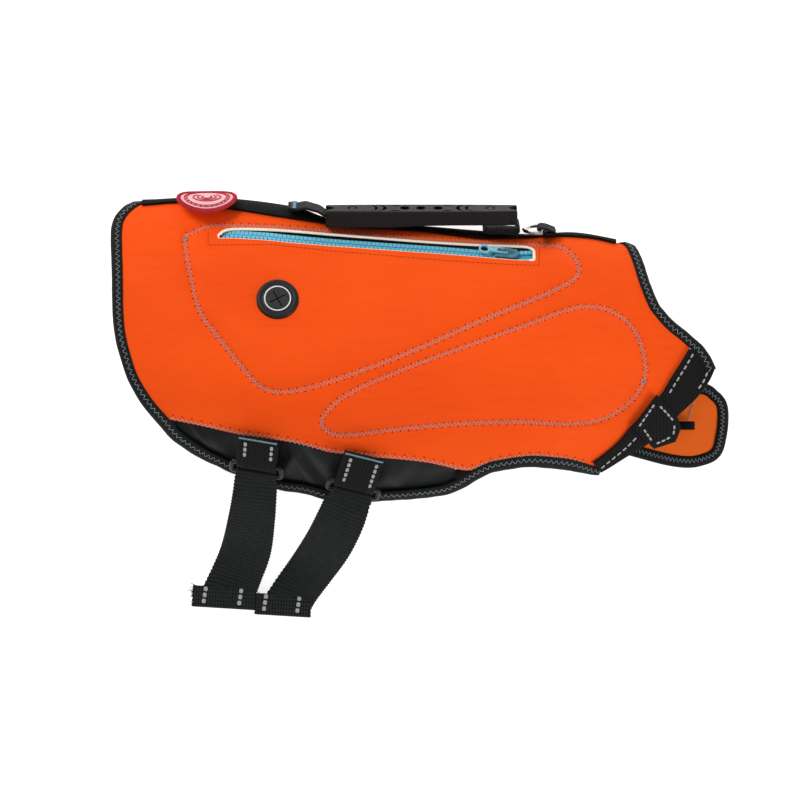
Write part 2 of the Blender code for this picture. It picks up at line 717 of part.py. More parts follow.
def build_strap(name, seat, finish):
    """A strap from under the far flap, round both hems, through its ring, and down to a folded end."""
    centre, up_body, up, wide, wrap, half_gap = seat
    bar = centre - up_body * half_gap
    rows = TAILS[name]
    level = WEBBING / 2
    hem_y = read_table(FLAP_COLUMNS, FLAP, "hem_y", bar.x)
    hem = pin(bar.x, hem_y)
    normal = outward(*hem)
    slope = (skin(*pin(bar.x, hem_y - 2)) - skin(*pin(bar.x, hem_y + 2))).normalized()
    edge = skin(*hem)
    round_hem = local_path(edge, slope, normal, (
        (10.4, -9.0), (11.0, -5.2), (11.0, -2.2), (9.6, 0.9), (6.6, 2.3), (1.0, 2.6)))
    foot = round_hem[0]
    clear_y = skin(*tuck(hem)).y - BINDING_GAP - BINDING - 1.0
    out_y = min(clear_y, foot.y)
    under = [Vector((bar.x, y, z)) for y, z in (
        (edge.y + 24, level), (edge.y + 12, level), (clear_y + 3, level), (clear_y - 0.4, level + 0.4),
        (out_y - 4.0, level + 5.0), (out_y - 5.6, level + 14.0), (out_y - 4.2, foot.z - 6.0))]
    under += round_hem
    under += [bar - up * wrap - up_body * 3.0]
    wrapped = local_path(bar, up_body, up, half_turn((0, 0), wrap, 270, 450, 7))
    start = wrapped[-1]
    tail, halves = [], []
    line = spread(curve_through([Vector(row) for row in rows]), 15)
    reach = [0.0]
    for a, b in zip(line, line[1:]):
        reach.append(reach[-1] + (b.xy - a.xy).length)
    fall = curve_through([Vector((k / 5, v)) for k, v in enumerate(TAIL_HEIGHTS)])
    for spot, run in list(zip(line, reach))[1:]:
        f = run / reach[-1]
        share = min(fall, key=lambda p: abs(p[0] - f))[1]
        z = start.z + (level - start.z) * share
        tail.append(Vector((spot[0], spot[1], z)))
        halves.append(spot[2])
    path = under + wrapped + tail
    before, after = bar.x - 6, bar.x + 6
    along_hem = (skin(*pin(after, read_table(FLAP_COLUMNS, FLAP, "hem_y", after)))
                 - skin(*pin(before, read_table(FLAP_COLUMNS, FLAP, "hem_y", before))))
    on_floor = Vector((along_hem.x, along_hem.y, 0)).normalized()
    along_hem.normalize()
    plain = len(under) - len(round_hem) - 1
    sides = [on_floor] * plain + [along_hem] * (len(round_hem) - 1)
    sides += [along_hem.lerp(wide, f) for f in (0.5, 1.0)]
    sides += [wide] * len(wrapped)
    for i in range(len(tail)):
        ahead = tail[min(i + 1, len(tail) - 1)] - tail[max(i - 1, 0)]
        square = Vector((-ahead.y, ahead.x, 0)).normalized()
        square = square if square.x > 0 else -square
        slant = max(0.0, (i / (len(tail) - 1) - 0.7) / 0.3)
        sides.append(square.lerp(Vector(TAIL_END_SIDE), slant))
    width = [11.4] * len(under) + [12.0] * len(wrapped) + halves
    end, side = tail[-1], sides[-1]
    direction = side.cross(Vector((0, 0, 1)))
    roll = [end + Vector((direction.x, direction.y, 0)) * a + Vector((0, 0, 1)) * b for a, b in
            ((1.6, 0.1), (2.3, 0.7), (2.3, 1.5), (1.6, 2.1), (-2.0, 2.2), (-10.0, 2.4))]
    path += roll
    sides += [side] * len(roll)
    width += [halves[-1]] * len(roll)
    sides = [s if s.x > 0 else -s for s in sides]
    return ribbon("belly_strap_" + name, path, sides, width, WEBBING, finish)


# ---------------------------------------------------------------- spine fittings
LEAN = Vector((0, math.cos(ROLL), math.sin(ROLL)))          # out from the spine
BREADTH = Vector((0, -math.sin(ROLL), math.cos(ROLL)))      # across the spine band


def band_top(x):
    """Height of the spine band's outer face along LEAN, for a given station."""
    return max(skin(x, w, BAND_GAP + WEBBING).dot(LEAN) for w in range(-20, 60, 4))


def over_spine(x, height):
    """A point above the middle of the spine band."""
    base = Vector((x, GRIP_CENTRE[1], GRIP_CENTRE[2]))
    return base + LEAN * (height - base.dot(LEAN))


def build_handle(rubber, webbing_finish):
    """The moulded grip and the two webbing ends that carry it."""
    matrix = standing(Vector(GRIP_CENTRE), Vector((1, 0, 0)), LEAN)
    block("handle_grip", (GRIP_LENGTH, GRIP_WIDTH, GRIP_DEPTH), rubber, matrix, 2.2, 3)
    middle = Vector(GRIP_CENTRE).dot(LEAN)
    lay = GAP + 0.8
    rear = [over_spine(x, h) for x, h in (
        (-75.0, band_top(-75) + lay), (-68.0, band_top(-68) + lay), (-62.0, band_top(-62) + lay + 0.4),
        (-57.0, band_top(-57) + lay + 2.4), (-52.5, middle + 4.6), (-48.6, middle + 3.4),
        (-44.8, middle + 0.6))]
    front = [over_spine(x, h) for x, h in (
        (50.0, band_top(50) + lay), (57.0, band_top(57) + lay), (64.0, band_top(64) + lay),
        (68.6, band_top(68) + lay + 0.9), (71.6, middle - 6.0), (72.4, middle - 3.6), (72.2, middle - 1.4),
        (71.0, middle - 0.2))]
    for name, path in (("handle_webbing_rear", rear), ("handle_webbing_front", front)):
        ribbon(name, path, [BREADTH] * len(path), [BAND_WIDTH / 2 - 0.6] * len(path), 1.3, webbing_finish)


def leash_axis():
    """Middle of the leash ring's straight bar."""
    return over_spine(LEASH_X, band_top(LEASH_X) + GAP + 1.2 + GAP + LEASH_WIRE)


def build_leash_ring(metal, webbing_finish):
    """A D ring lying back towards the handle, and the webbing loop that holds its bar."""
    matrix = standing(leash_axis(), Vector((1, 0, 0)), LEAN)
    depth, half = 10.4, 12.2
    points = [Vector((0, half, 0)), Vector((0, -half, 0))]
    points += [Vector((-depth * math.sin(a), -half * math.cos(a), 0))
               for a in (math.pi * k / 16 for k in range(1, 16))]
    wire_mesh("leash_ring", points, LEASH_WIRE, True, metal, matrix, 3)
    wrap = LEASH_WIRE + GAP + 0.6
    pairs = [(9.0, -wrap + 0.5)] + [(3.0, -wrap)] + half_turn((0, 0), wrap, 270, 90, 7)
    pairs += [(3.0, wrap * 0.8), (5.6, 0.6), (8.4, -0.4)]
    path = local_path(leash_axis(), Vector((1, 0, 0)), LEAN, pairs)
    ribbon("leash_loop", path, [BREADTH] * len(path), [9.0] * len(path), 1.0, webbing_finish)


def build_badge(finish):
    """A round sewn patch bent over the spine, left plain."""
    tilt = math.radians(20)
    out = Vector((0, math.cos(tilt), math.sin(tilt)))
    across = Vector((0, -math.sin(tilt), math.cos(tilt)))
    origin = Vector(BADGE_CENTRE)
    rings = 24
    form = bmesh.new()
    layers = []
    for height in (1.8, 0.0):
        loops = []
        for share in (1.0, 0.5):
            loops.append([form.verts.new((origin + Vector((1, 0, 0)) * u + across * v
                                          + out * (height - v * v / 110)) * MM)
                          for u, v in ((BADGE_RADIUS * share * math.cos(2 * math.pi * k / rings),
                                        BADGE_RADIUS * share * math.sin(2 * math.pi * k / rings))
                                       for k in range(rings))])
        middle = form.verts.new((origin + out * height) * MM)
        for k in range(rings):
            n = (k + 1) % rings
            form.faces.new((loops[0][k], loops[0][n], loops[1][n], loops[1][k]))
            form.faces.new((loops[1][k], loops[1][n], middle))
        layers.append(loops[0])
    for k in range(rings):
        n = (k + 1) % rings
        form.faces.new((layers[0][k], layers[1][k], layers[1][n], layers[0][n]))
    bmesh.ops.recalc_face_normals(form, faces=form.faces)
    mesh = bpy.data.meshes.new("badge")
    form.to_mesh(mesh)
    form.free()
    place("badge", mesh, finish)


# ---------------------------------------------------------------- zip and port
def zip_strip(shrink, high, low, count):
    """Grids of a strip inside the zip window, drawn in by shrink, between two lifts."""
    first, last = ZIP[0][0] + shrink, ZIP[-1][0] - shrink
    outer, inner = [], []
    for k in range(count):
        x = first + (last - first) * (0.5 - 0.5 * math.cos(math.pi * k / (count - 1)))
        top = read_table(ZIP_COLUMNS, ZIP, "top_y", x) - shrink
        bottom = read_table(ZIP_COLUMNS, ZIP, "low_y", x) + shrink
        spots = [pin(x, top), pin(x, bottom)]
        outer.append([skin(u, w, high) for u, w in spots])
        inner.append([skin(u, w, low) for u, w in spots])
    return outer, inner


def zip_frame():
    """Frame of the slider: local X runs towards the neck, local Z out of the cloth."""
    x, y = SLIDER_CENTRE
    spot = pin(x, y)
    along = skin(*pin(x + 5, y - 0.4)) - skin(*pin(x - 5, y + 0.4))
    return standing(skin(*spot), along, outward(*spot))


def build_zip(panel, tape_finish, metal):
    """Cut the window, lay the tape in it and put the slider with its pull tab on the tape."""
    outer, inner = zip_strip(0.0, 7.0, -15.0, 20)
    window = wall("zip_window", outer, inner, tape_finish, CUTTERS)
    cut(panel, window)
    outer, inner = zip_strip(0.5, TAPE_LIFT, TAPE_LIFT - TAPE_DEPTH, 26)
    wall("zip_tape", outer, inner, tape_finish)

    matrix = zip_frame()
    shift = Matrix.Translation(Vector((0, 0, SLIDER_LIFT)) * MM)
    body = block("zip_slider", (13.6, 7.4, 2.8), metal, matrix @ shift, 0.9, 2)
    bridge = [Vector((a, 0, b)) for a, b in ((-3.6, -0.6), (-3.6, 2.0), (-3.0, 3.4), (-1.8, 4.1), (1.8, 4.1),
                                            (3.0, 3.4), (3.6, 2.0), (3.6, -0.6))]
    arch = wire_mesh("slider_bridge", bridge, 0.7, False, metal, matrix @ shift)
    JACKET.objects.unlink(arch)
    CUTTERS.objects.link(arch)
    arch.hide_render = True
    arch.display_type = "WIRE"
    join = body.modifiers.new("bridge", "BOOLEAN")
    join.operation = "UNION"
    join.solver = "EXACT"
    join.object = arch

    hinge = matrix @ Matrix.Translation(Vector((0, 0, SLIDER_LIFT + 2.6)) * MM)
    outline = [(0.95, 1.9), (-6.0, 1.9), (-7.4, 1.5), (-9.2, 1.4)]
    ring_x, ring_r = -13.4, 3.4
    arc = [(ring_x + ring_r * math.cos(a), ring_r * math.sin(a))
           for a in (math.radians(25 + 310 * k / 14) for k in range(15))]
    rim = outline + arc + [(x, -y) for x, y in reversed(outline)]
    pull = extruded("zip_pull", rim, 1.1, metal, hinge)
    eye_corners = [(0.2, 1.15), (-5.4, 1.15), (-5.4, -1.15), (0.2, -1.15)]
    eye = extruded("pull_eye", eye_corners, 3.0, metal, hinge, CUTTERS)
    hole = extruded("pull_hole", [(ring_x + 2.3 * math.cos(math.pi * k / 8), 2.3 * math.sin(math.pi * k / 8))
                                  for k in range(16)], 3.0, metal, hinge, CUTTERS)
    cut(pull, eye)
    cut(pull, hole)


def extruded(name, outline, depth, finish, matrix, home=None):
    """A flat outline given a depth, centred on its plane."""
    form = bmesh.new()
    face = form.faces.new([form.verts.new(Vector((x, y, -depth / 2)) * MM) for x, y in outline])
    raised = bmesh.ops.extrude_face_region(form, geom=[face])
    moved = [item for item in raised["geom"] if isinstance(item, bmesh.types.BMVert)]
    bmesh.ops.translate(form, vec=Vector((0, 0, depth)) * MM, verts=moved)
    bmesh.ops.recalc_face_normals(form, faces=form.faces)
    mesh = bpy.data.meshes.new(name)
    form.to_mesh(mesh)
    form.free()
    item = bpy.data.objects.new(name, mesh)
    mesh.materials.append(finish)
    item.matrix_world = matrix
    (home or JACKET).objects.link(item)
    return item


def build_port(panel, rubber):
    """The rubber port: a flange let into the cloth with a slotted cap."""
    spot = pin(*PORT_CENTRE)
    matrix = standing(skin(*spot, PAD_RISE), Vector((1, 0, 0)), outward(*spot))
    seat = [(0, 8.0), (PORT_RADIUS + GAP, 8.0), (PORT_RADIUS + GAP, -0.9), (PORT_BARREL + GAP, -0.9),
            (PORT_BARREL + GAP, -16.0), (0, -16.0)]
    cut(panel, turned("port_seat", seat, rubber, matrix, CUTTERS))
    shape = [(0, 1.2), (6.4, 1.2), (7.0, 2.0), (8.2, 2.2), (9.0, 1.6), (10.8, 1.5), (12.0, 1.2), (PORT_RADIUS, 0.5),
             (PORT_RADIUS, -0.6), (PORT_BARREL, -0.6), (PORT_BARREL, -9.0), (0, -9.0)]
    turned("port_grommet", shape, rubber, matrix)


def main():
    """Build the jacket."""
    orange = material("orange neoprene", (0.95, 0.13, 0.02), 0.75)
    nylon = material("black nylon", (0.02, 0.022, 0.022), 0.45)
    binding = material("black binding", (0.022, 0.022, 0.022), 0.8)
    webbing = material("black webbing", (0.015, 0.015, 0.014), 0.85)
    rubber = material("black rubber", (0.03, 0.028, 0.026), 0.6)
    plastic = material("black plastic", (0.02, 0.02, 0.02), 0.4)
    tape = material("blue zip", (0.12, 0.45, 0.62), 0.5)
    slider = material("blue enamel", (0.08, 0.30, 0.42), 0.35)
    steel = material("polished steel", (0.75, 0.75, 0.75), 0.15, 1.0)
    patch_finish = material("red patch", (0.50, 0.02, 0.04), 0.8)
    near = build_panels(orange)
    build_flaps(nylon)
    build_bindings(binding)
    build_spine_band(webbing)
    build_front_webbing(webbing)
    build_chest_flap(orange, binding)
    for row in BELLY:
        seat = build_belly_ring(row, webbing, plastic)
        build_strap(row[0], seat, webbing)
    build_handle(rubber, webbing)
    build_leash_ring(steel, webbing)
    build_badge(patch_finish)
    build_zip(near, tape, slider)
    build_port(near, rubber)


for leftover in list(bpy.data.objects):
    bpy.data.objects.remove(leftover)
JACKET = bpy.data.collections.new("dog_life_jacket")
CUTTERS = bpy.data.collections.new("cutters")
bpy.context.scene.collection.children.link(JACKET)
bpy.context.scene.collection.children.link(CUTTERS)
main()
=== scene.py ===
"""Dog life jacket: its cloth, webbing, threads and fittings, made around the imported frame.

Points are in millimetres until they become a mesh.  The cloth has two coordinates of its own:
x along the body, and w across it, where (w / 10) squared is the drop below the spine ridge.
w is positive on the upper side and negative on the side that lies on the surface.
"""
import math

import bmesh
import bpy
import numpy as np
from mathutils import Matrix, Vector


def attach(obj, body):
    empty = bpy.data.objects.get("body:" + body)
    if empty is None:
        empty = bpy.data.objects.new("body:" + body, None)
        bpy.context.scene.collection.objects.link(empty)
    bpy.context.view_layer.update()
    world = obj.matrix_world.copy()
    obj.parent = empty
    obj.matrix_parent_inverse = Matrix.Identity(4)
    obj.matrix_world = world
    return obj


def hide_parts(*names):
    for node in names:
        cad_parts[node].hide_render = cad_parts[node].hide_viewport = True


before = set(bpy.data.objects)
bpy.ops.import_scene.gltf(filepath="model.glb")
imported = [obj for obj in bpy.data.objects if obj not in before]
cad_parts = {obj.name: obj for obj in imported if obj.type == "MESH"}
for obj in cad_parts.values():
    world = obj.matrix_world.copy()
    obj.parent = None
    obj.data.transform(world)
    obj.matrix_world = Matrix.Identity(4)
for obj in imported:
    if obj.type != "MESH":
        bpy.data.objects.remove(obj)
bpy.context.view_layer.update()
bpy.ops.object.select_all(action="DESELECT")

MM = 0.001
CLOTH = 3.2                  # neoprene wall
PAD_DEPTH = 4.5              # extra wall where a foam pad is sewn in
PAD_RISE = 3.0               # how far a pad swells outwards
PAD_SHOULDER = 11.0          # distance over which it swells
PAD_EASE = 9.0               # the same, on the inner side
GROOVE_DEPTH = 0.9           # how far a pad's stitches pull the cloth in
GROOVE_HALF = 2.2
FOLD_SHARE = 0.6             # share of each soft fold's height that shows
NYLON_SET_BACK = 1.6
FAR_LIFT = 2.2               # the far flap lies above the two straps
BINDING_GAP = 0.5
BINDING = 6.3
WEBBING = 1.6
BAND_WIDTH = 25.0
BAND_GAP = 0.7
PROFILE = 1.5
FALL_RUN = 60.0
FAR_NARROW = 0.015
FAR_TURN = 20.0
FAR_SHORT = 0.955
ROLL = math.radians(12)
GRIP_CENTRE = (12.9, 75.5, 26.0)
PORT_CENTRE = (-73.0, 23.0)
BADGE_CENTRE = (-116.2, 84.4, 29.8)

# x, ridge y, ridge z, drop of the crown, rise of the crown, fall below the crown
BODY = (
    (-190, 82.0, 14.0, 84, 34, 20),
    (-150, 83.0, 17.0, 90, 42, 24),
    (-120, 84.3, 19.0, 95, 48, 27),
    (-93, 82.6, 20.0, 98, 52, 30),
    (-62, 78.0, 21.0, 101, 54, 32),
    (-50, 73.6, 21.5, 101, 54, 32),
    (-41, 70.2, 22.0, 101, 54, 33),
    (-24, 68.0, 22.0, 101, 55, 33),
    (12, 66.8, 22.0, 101, 55, 33),
    (42, 64.4, 22.0, 99, 54, 33),
    (78, 61.8, 21.0, 95, 51, 31),
    (105, 63.0, 20.0, 92, 46, 29),
    (135, 58.0, 18.0, 84, 38, 26),
    (165, 52.0, 16.0, 76, 31, 24),
    (200, 45.0, 14.0, 70, 25, 22),
)
REAR_EDGE = (
    (-160.4, 79.8), (-166.2, 73.4), (-168.0, 65.0), (-167.0, 40.0), (-166.4, 18.0), (-165.0, 4.0),
    (-162.0, -8.5), (-157.4, -22.0), (-149.0, -36.0), (-139.2, -47.4),
)
NECK_EDGE = (
    (135.8, 57.2), (139.4, 51.0), (144.0, 36.0), (149.4, 21.6), (154.6, 13.8), (161.0, 6.8),
    (168.5, 0.8), (174.0, -4.2),
)
FRONT_EDGE = (
    (174.0, -4.2), (169.0, -14.0), (162.0, -25.5), (153.0, -38.0), (140.0, -52.0), (128.0, -64.5),
    (115.0, -76.0),
)
SEAM_EDGE = (
    (-139.2, -47.4), (-112.8, -52.8), (-93.6, -57.0), (-70.8, -60.2), (-45.0, -66.4), (-32.4, -68.4),
    (0.0, -71.4), (18.4, -73.7), (39.6, -78.0), (50.0, -75.2), (58.8, -72.6), (78.0, -70.0), (96.4, -71.4),
    (115.0, -76.0),
)
HEM_EDGE = (
    (-139.2, -47.8), (-133.0, -55.0), (-126.0, -60.6), (-117.0, -66.4), (-108.0, -70.8), (-96.0, -76.6),
    (-72.0, -85.4), (-48.0, -90.2), (-12.0, -91.8), (6.0, -90.6), (24.0, -88.4), (33.0, -85.0), (40.0, -80.7),
)
# x, top and hem of the belly flap
FLAP = (
    (-133.0, -48.8, -54.6), (-117.0, -52.0, -66.0), (-96.0, -56.5, -76.2), (-72.0, -60.1, -85.0),
    (-48.0, -65.8, -89.8), (-24.0, -69.4, -91.2), (0.0, -71.5, -91.0), (18.0, -73.8, -89.2),
    (31.0, -76.9, -85.4),
)
UPPER_PAD = (
    (-129, 60), (-124, 64.5), (-114.8, 68.4), (-95, 68.8), (-73.8, 67.9), (-47, 66.0),
    (-15.7, 63.4), (13.4, 61.0), (42.5, 59.3), (72, 57.9), (86.4, 57.6), (96.6, 56), (104, 51),
    (107.4, 43), (103.8, 36), (86.4, 27), (49.8, 12), (3.6, -8.4),
    (-45.3, -26.2), (-69.6, -31.2), (-82, -28.6), (-91.8, -19.2), (-109.5, 3), (-119, 16), (-124.2, 33.6),
)
LOWER_PAD = (
    (-46.6, -50.7), (-44.1, -43.8), (-29.4, -31.8), (10.8, -14.4), (70.8, 7.2), (101.4, 18.3), (112.2, 19.8),
    (124, 18.4), (136, 11), (143.4, 0), (147, -16.8), (144.5, -28), (135.3, -39.4), (119.4, -48),
    (100, -50.4),
    (73.2, -49.2), (36.6, -50.2), (0, -53.4), (-30.6, -57), (-41.5, -55.8),
)
# x, top and low edge of the zip window
ZIP = (
    (-108.6, 61.4, 59.4), (-105.5, 64.4, 59.4), (-100.0, 65.9, 59.3), (-80.0, 65.8, 58.0),
    (-64.8, 64.9, 56.4), (-36.0, 62.4, 54.0), (0.0, 59.8, 51.4), (33.0, 57.4, 49.0),
    (53.0, 56.4, 47.3), (71.0, 56.2, 46.0), (77.0, 55.2, 46.0), (80.4, 52.6, 46.3),
)
# x and the near edge of the spine band
BAND = (
    (-157, 80.4), (-151, 81.0), (-132, 82.0), (-96, 77.2), (-75, 73.8), (-58, 71.2), (-42, 69.2),
    (-24, 67.2), (12, 64.6), (48, 60.4), (66, 60.4), (93, 62.0), (111, 61.2), (120, 60.0), (133, 56.8),
)
# the near front webbing: a point on the panel and one on the free edge
FRONT_WEBBING = (
    (173.1, -5.4, 189.0, -16.4), (168.4, -13.0, 185.0, -24.8), (162.0, -22.8, 177.6, -34.4),
    (156.6, -31.8, 166.4, -44.8), (148.0, -41.4, 156.8, -54.6), (138.0, -51.6, 146.2, -63.0),
    (131.2, -60.0, 135.6, -69.2), (122.4, -67.8, 126.4, -75.0), (115.4, -72.8, 120.2, -78.6),
)
CHEST_TAB = ((152.4, -32.6), (165.4, -45.6), (167.7, -51.4), (164.4, -59.4), (151.2, -63.5), (137.8, -51.4))
CHEST_TOP = ((126.0, -42.0), (146.0, -35.5), (166.0, -31.6), (182.4, -31.8))
CHEST_RIGHT = (
    (182.4, -31.8), (188.2, -35.2), (192.2, -40.0), (192.8, -48.6), (191.6, -58.0), (189.0, -66.2),
    (182.0, -69.6),
)
CHEST_LOW = ((122.0, -58.0), (134.0, -61.6), (146.4, -65.2), (162.6, -69.4), (174.0, -70.8), (182.0, -69.6))
CHEST_LEFT = ((126.0, -42.0), (123.4, -50.0), (122.0, -58.0))
CHEST_LEAN = 0.17
# ring centre, turn of the ring, and the top of its tab
BELLY = {"rear": (-85.0, -74.2, 3.0, -57.0), "front": (-27.6, -86.0, 14.0, -67.0)}
# middle line and half width of each hanging strap
TAILS = {
    "rear": ((-85.8, -79.5, 12.8), (-87.2, -93.0, 13.2), (-89.0, -106.6, 14.0), (-92.6, -125.4, 15.0),
             (-98.6, -141.0, 15.2), (-106.8, -159.2, 16.8)),
    "front": ((-30.4, -94.0, 13.2), (-34.4, -105.0, 14.2), (-42.6, -121.8, 14.4), (-53.4, -137.8, 13.8),
              (-62.8, -150.8, 13.8), (-71.0, -163.8, 15.8)),
}
TAIL_HEIGHTS = (0.0, 0.12, 0.36, 0.70, 0.92, 1.0)

# Soft folds of the orange cloth: ends, width across the fold, and height.
FOLDS = (
    (-150, 50, -134, -30, 9.0, 0.9), (-60, -40, 20, -28, 8.0, 0.7), (108, 46, 136, 30, 8.0, 0.8),
    (90, 24, 128, 30, 7.0, 0.6), (-105, -20, -70, -46, 9.0, 0.9), (40, -62, 104, -60, 6.0, 0.7),
    (-30, 0, 40, 22, 18.0, 0.8), (20, -30, 100, -14, 14.0, 0.7), (-150, -12, -118, -34, 7.0, 0.6),
)


# ---------------------------------------------------------------- curves
def read(table, column, x):
    """A column of a table at x, on a smooth curve through its rows."""
    rows = np.array(table, float)
    xs, ys = rows[:, 0], rows[:, column]
    x = np.asarray(x, float)
    k = np.arange(len(xs))
    low, high = np.maximum(k - 1, 0), np.minimum(k + 1, len(xs) - 1)
    slope = (ys[high] - ys[low]) / (xs[high] - xs[low])
    i = np.clip(np.searchsorted(xs, x, side="right") - 1, 0, len(xs) - 2)
    run = xs[i + 1] - xs[i]
    f = np.clip((x - xs[i]) / run, 0, 1)
    return ((2 * f ** 3 - 3 * f ** 2 + 1) * ys[i] + (f ** 3 - 2 * f ** 2 + f) * run * slope[i]
            + (3 * f ** 2 - 2 * f ** 3) * ys[i + 1] + (f ** 3 - f ** 2) * run * slope[i + 1])


def through(points, closed=False, steps=10):
    """A dense smooth line through a few points."""
    p = np.array(points, float)
    n = len(p)
    spans = n if closed else n - 1
    at = (lambda i: p[i % n]) if closed else (lambda i: p[max(0, min(n - 1, i))])
    f = (np.arange(steps) / steps)[:, None]
    line = []
    for i in range(spans):
        a, b, c, d = at(i - 1), at(i), at(i + 1), at(i + 2)
        line.append(0.5 * (2 * b + (c - a) * f + (2 * a - 5 * b + 4 * c - d) * f ** 2
                           + (3 * b - a - 3 * c + d) * f ** 3))
    line = np.concatenate(line)
    return line if closed else np.vstack([line, p[-1]])


def reach_of(line):
    """Distance along a line at each of its points."""
    return np.concatenate([[0], np.cumsum(np.linalg.norm(np.diff(line, axis=0), axis=1))])


def at_reach(line, want, reach=None):
    """A line's values at given distances along it."""
    reach = reach_of(line) if reach is None else reach
    return np.stack([np.interp(want, reach, line[:, k]) for k in range(line.shape[1])], -1)


def spread(line, count):
    """The same line with count points at even distances."""
    line = np.asarray(line, float)
    return at_reach(line, np.linspace(0, reach_of(line)[-1], count))


def unit(v):
    """Vectors at length 1."""
    return v / np.maximum(np.linalg.norm(v, axis=-1, keepdims=True), 1e-12)


def circle(count):
    """Points of a unit circle."""
    turn = np.linspace(0, 2 * math.pi, count, endpoint=False)
    return np.stack([np.cos(turn), np.sin(turn)], -1)


# ---------------------------------------------------------------- the form of the cloth
def section(x, w):
    """Points of the outer skin at station x and cloth coordinate w."""
    x, w = np.broadcast_arrays(np.asarray(x, float), np.asarray(w, float))
    ridge_y, ridge_z, crown_drop, crown_rise, fall = (read(BODY, k, x) for k in range(1, 6))
    drop = (w / 10) ** 2
    turn = np.minimum(drop / ridge_z, 1)
    far = ridge_z * (1 - np.sqrt(np.maximum(0, 1 - (1 - turn) ** 2)))
    share = np.minimum(drop / crown_drop, 1)
    near = ridge_z + crown_rise * (1 - (1 - share) ** PROFILE) ** (1 / PROFILE)
    past = ridge_z + crown_rise - fall * ((drop - crown_drop) / FALL_RUN) ** 2
    z = np.where(w < 0, far, np.where(drop < crown_drop, near, past))
    return np.stack([x, ridge_y - drop, z], -1)


def outward(x, w):
    """Unit normals of the outer skin."""
    x, w = np.asarray(x, float), np.asarray(w, float)
    along = section(x + 1, w) - section(x - 1, w)
    across = section(x, w + 0.4) - section(x, w - 0.4)
    return unit(np.cross(across, along))


def skin(spots, lift=0.0):
    """Points moved out from the skin by lift."""
    spots = np.asarray(spots, float)
    x, w = spots[..., 0], spots[..., 1]
    return section(x, w) + outward(x, w) * np.asarray(lift, float)[..., None]


def pin(points):
    """Cloth coordinates of near-side points seen from above."""
    points = np.asarray(points, float)
    drop = read(BODY, 1, points[..., 0]) - points[..., 1]
    return np.stack([points[..., 0], 10 * np.sqrt(np.maximum(drop, 0.01))], -1)


def tuck(spots):
    """The matching spots of the far side, a little inside the near ones."""
    spots = np.asarray(spots, float)
    turn = np.minimum(1, (spots[..., 1] / 10) ** 2 / FAR_TURN)
    return np.stack([spots[..., 0] * (1 - FAR_NARROW * turn), -spots[..., 1] * math.sqrt(FAR_SHORT)], -1)


def depth_in(points, outline):
    """Distance of points inside a closed outline from its edge, and minus that distance outside."""
    shape = points.shape[:-1]
    p = points.reshape(-1, 2)
    a, b = outline, np.roll(outline, -1, axis=0)
    run = b - a
    best = np.full(len(p), 1e9)
    hit = np.zeros(len(p), bool)
    for k in range(len(a)):
        f = np.clip(((p - a[k]) @ run[k]) / max(run[k] @ run[k], 1e-9), 0, 1)
        best = np.minimum(best, np.hypot(*(p - a[k] - f[:, None] * run[k]).T))
        crosses = (a[k, 1] > p[:, 1]) != (b[k, 1] > p[:, 1])
        if crosses.any():
            at = a[k, 0] + (p[:, 1] - a[k, 1]) * run[k, 0] / (run[k, 1] if abs(run[k, 1]) > 1e-12 else 1e-12)
            hit ^= crosses & (p[:, 0] < at)
    return np.where(hit, best, -best).reshape(shape)


PADS = [through(outline, closed=True, steps=6) for outline in (UPPER_PAD, LOWER_PAD)]


def cloth_lift(points):
    """How far the orange cloth stands above the plain skin: pads, stitch grooves and soft folds."""
    points = np.asarray(points, float)
    rise = np.zeros(points.shape[:-1])
    for outline in PADS:
        depth = depth_in(points, outline)
        rise += PAD_RISE * np.sin(np.clip(depth / PAD_SHOULDER, 0, 1) * math.pi / 2)
        rise -= GROOVE_DEPTH * np.exp(-(depth / GROOVE_HALF) ** 2)
    for x0, y0, x1, y1, width, height in FOLDS:
        a, run = np.array((x0, y0)), np.array((x1 - x0, y1 - y0))
        f = (points - a) @ run / (run @ run)
        off = (points - a) @ np.array((-run[1], run[0])) / np.hypot(*run)
        ends = np.exp(-(np.clip(np.abs(f - 0.5) - 0.3, 0, None) / 0.22) ** 2)
        rise += height * FOLD_SHARE * ends * np.exp(-(off / width) ** 2)
    return rise


# ---------------------------------------------------------------- finishes
def linear(colour):
    """Linear light from display colour values of 0 to 255."""
    return [c / 255 / 12.92 if c / 255 <= 0.04045 else ((c / 255 + 0.055) / 1.055) ** 2.4 for c in colour]


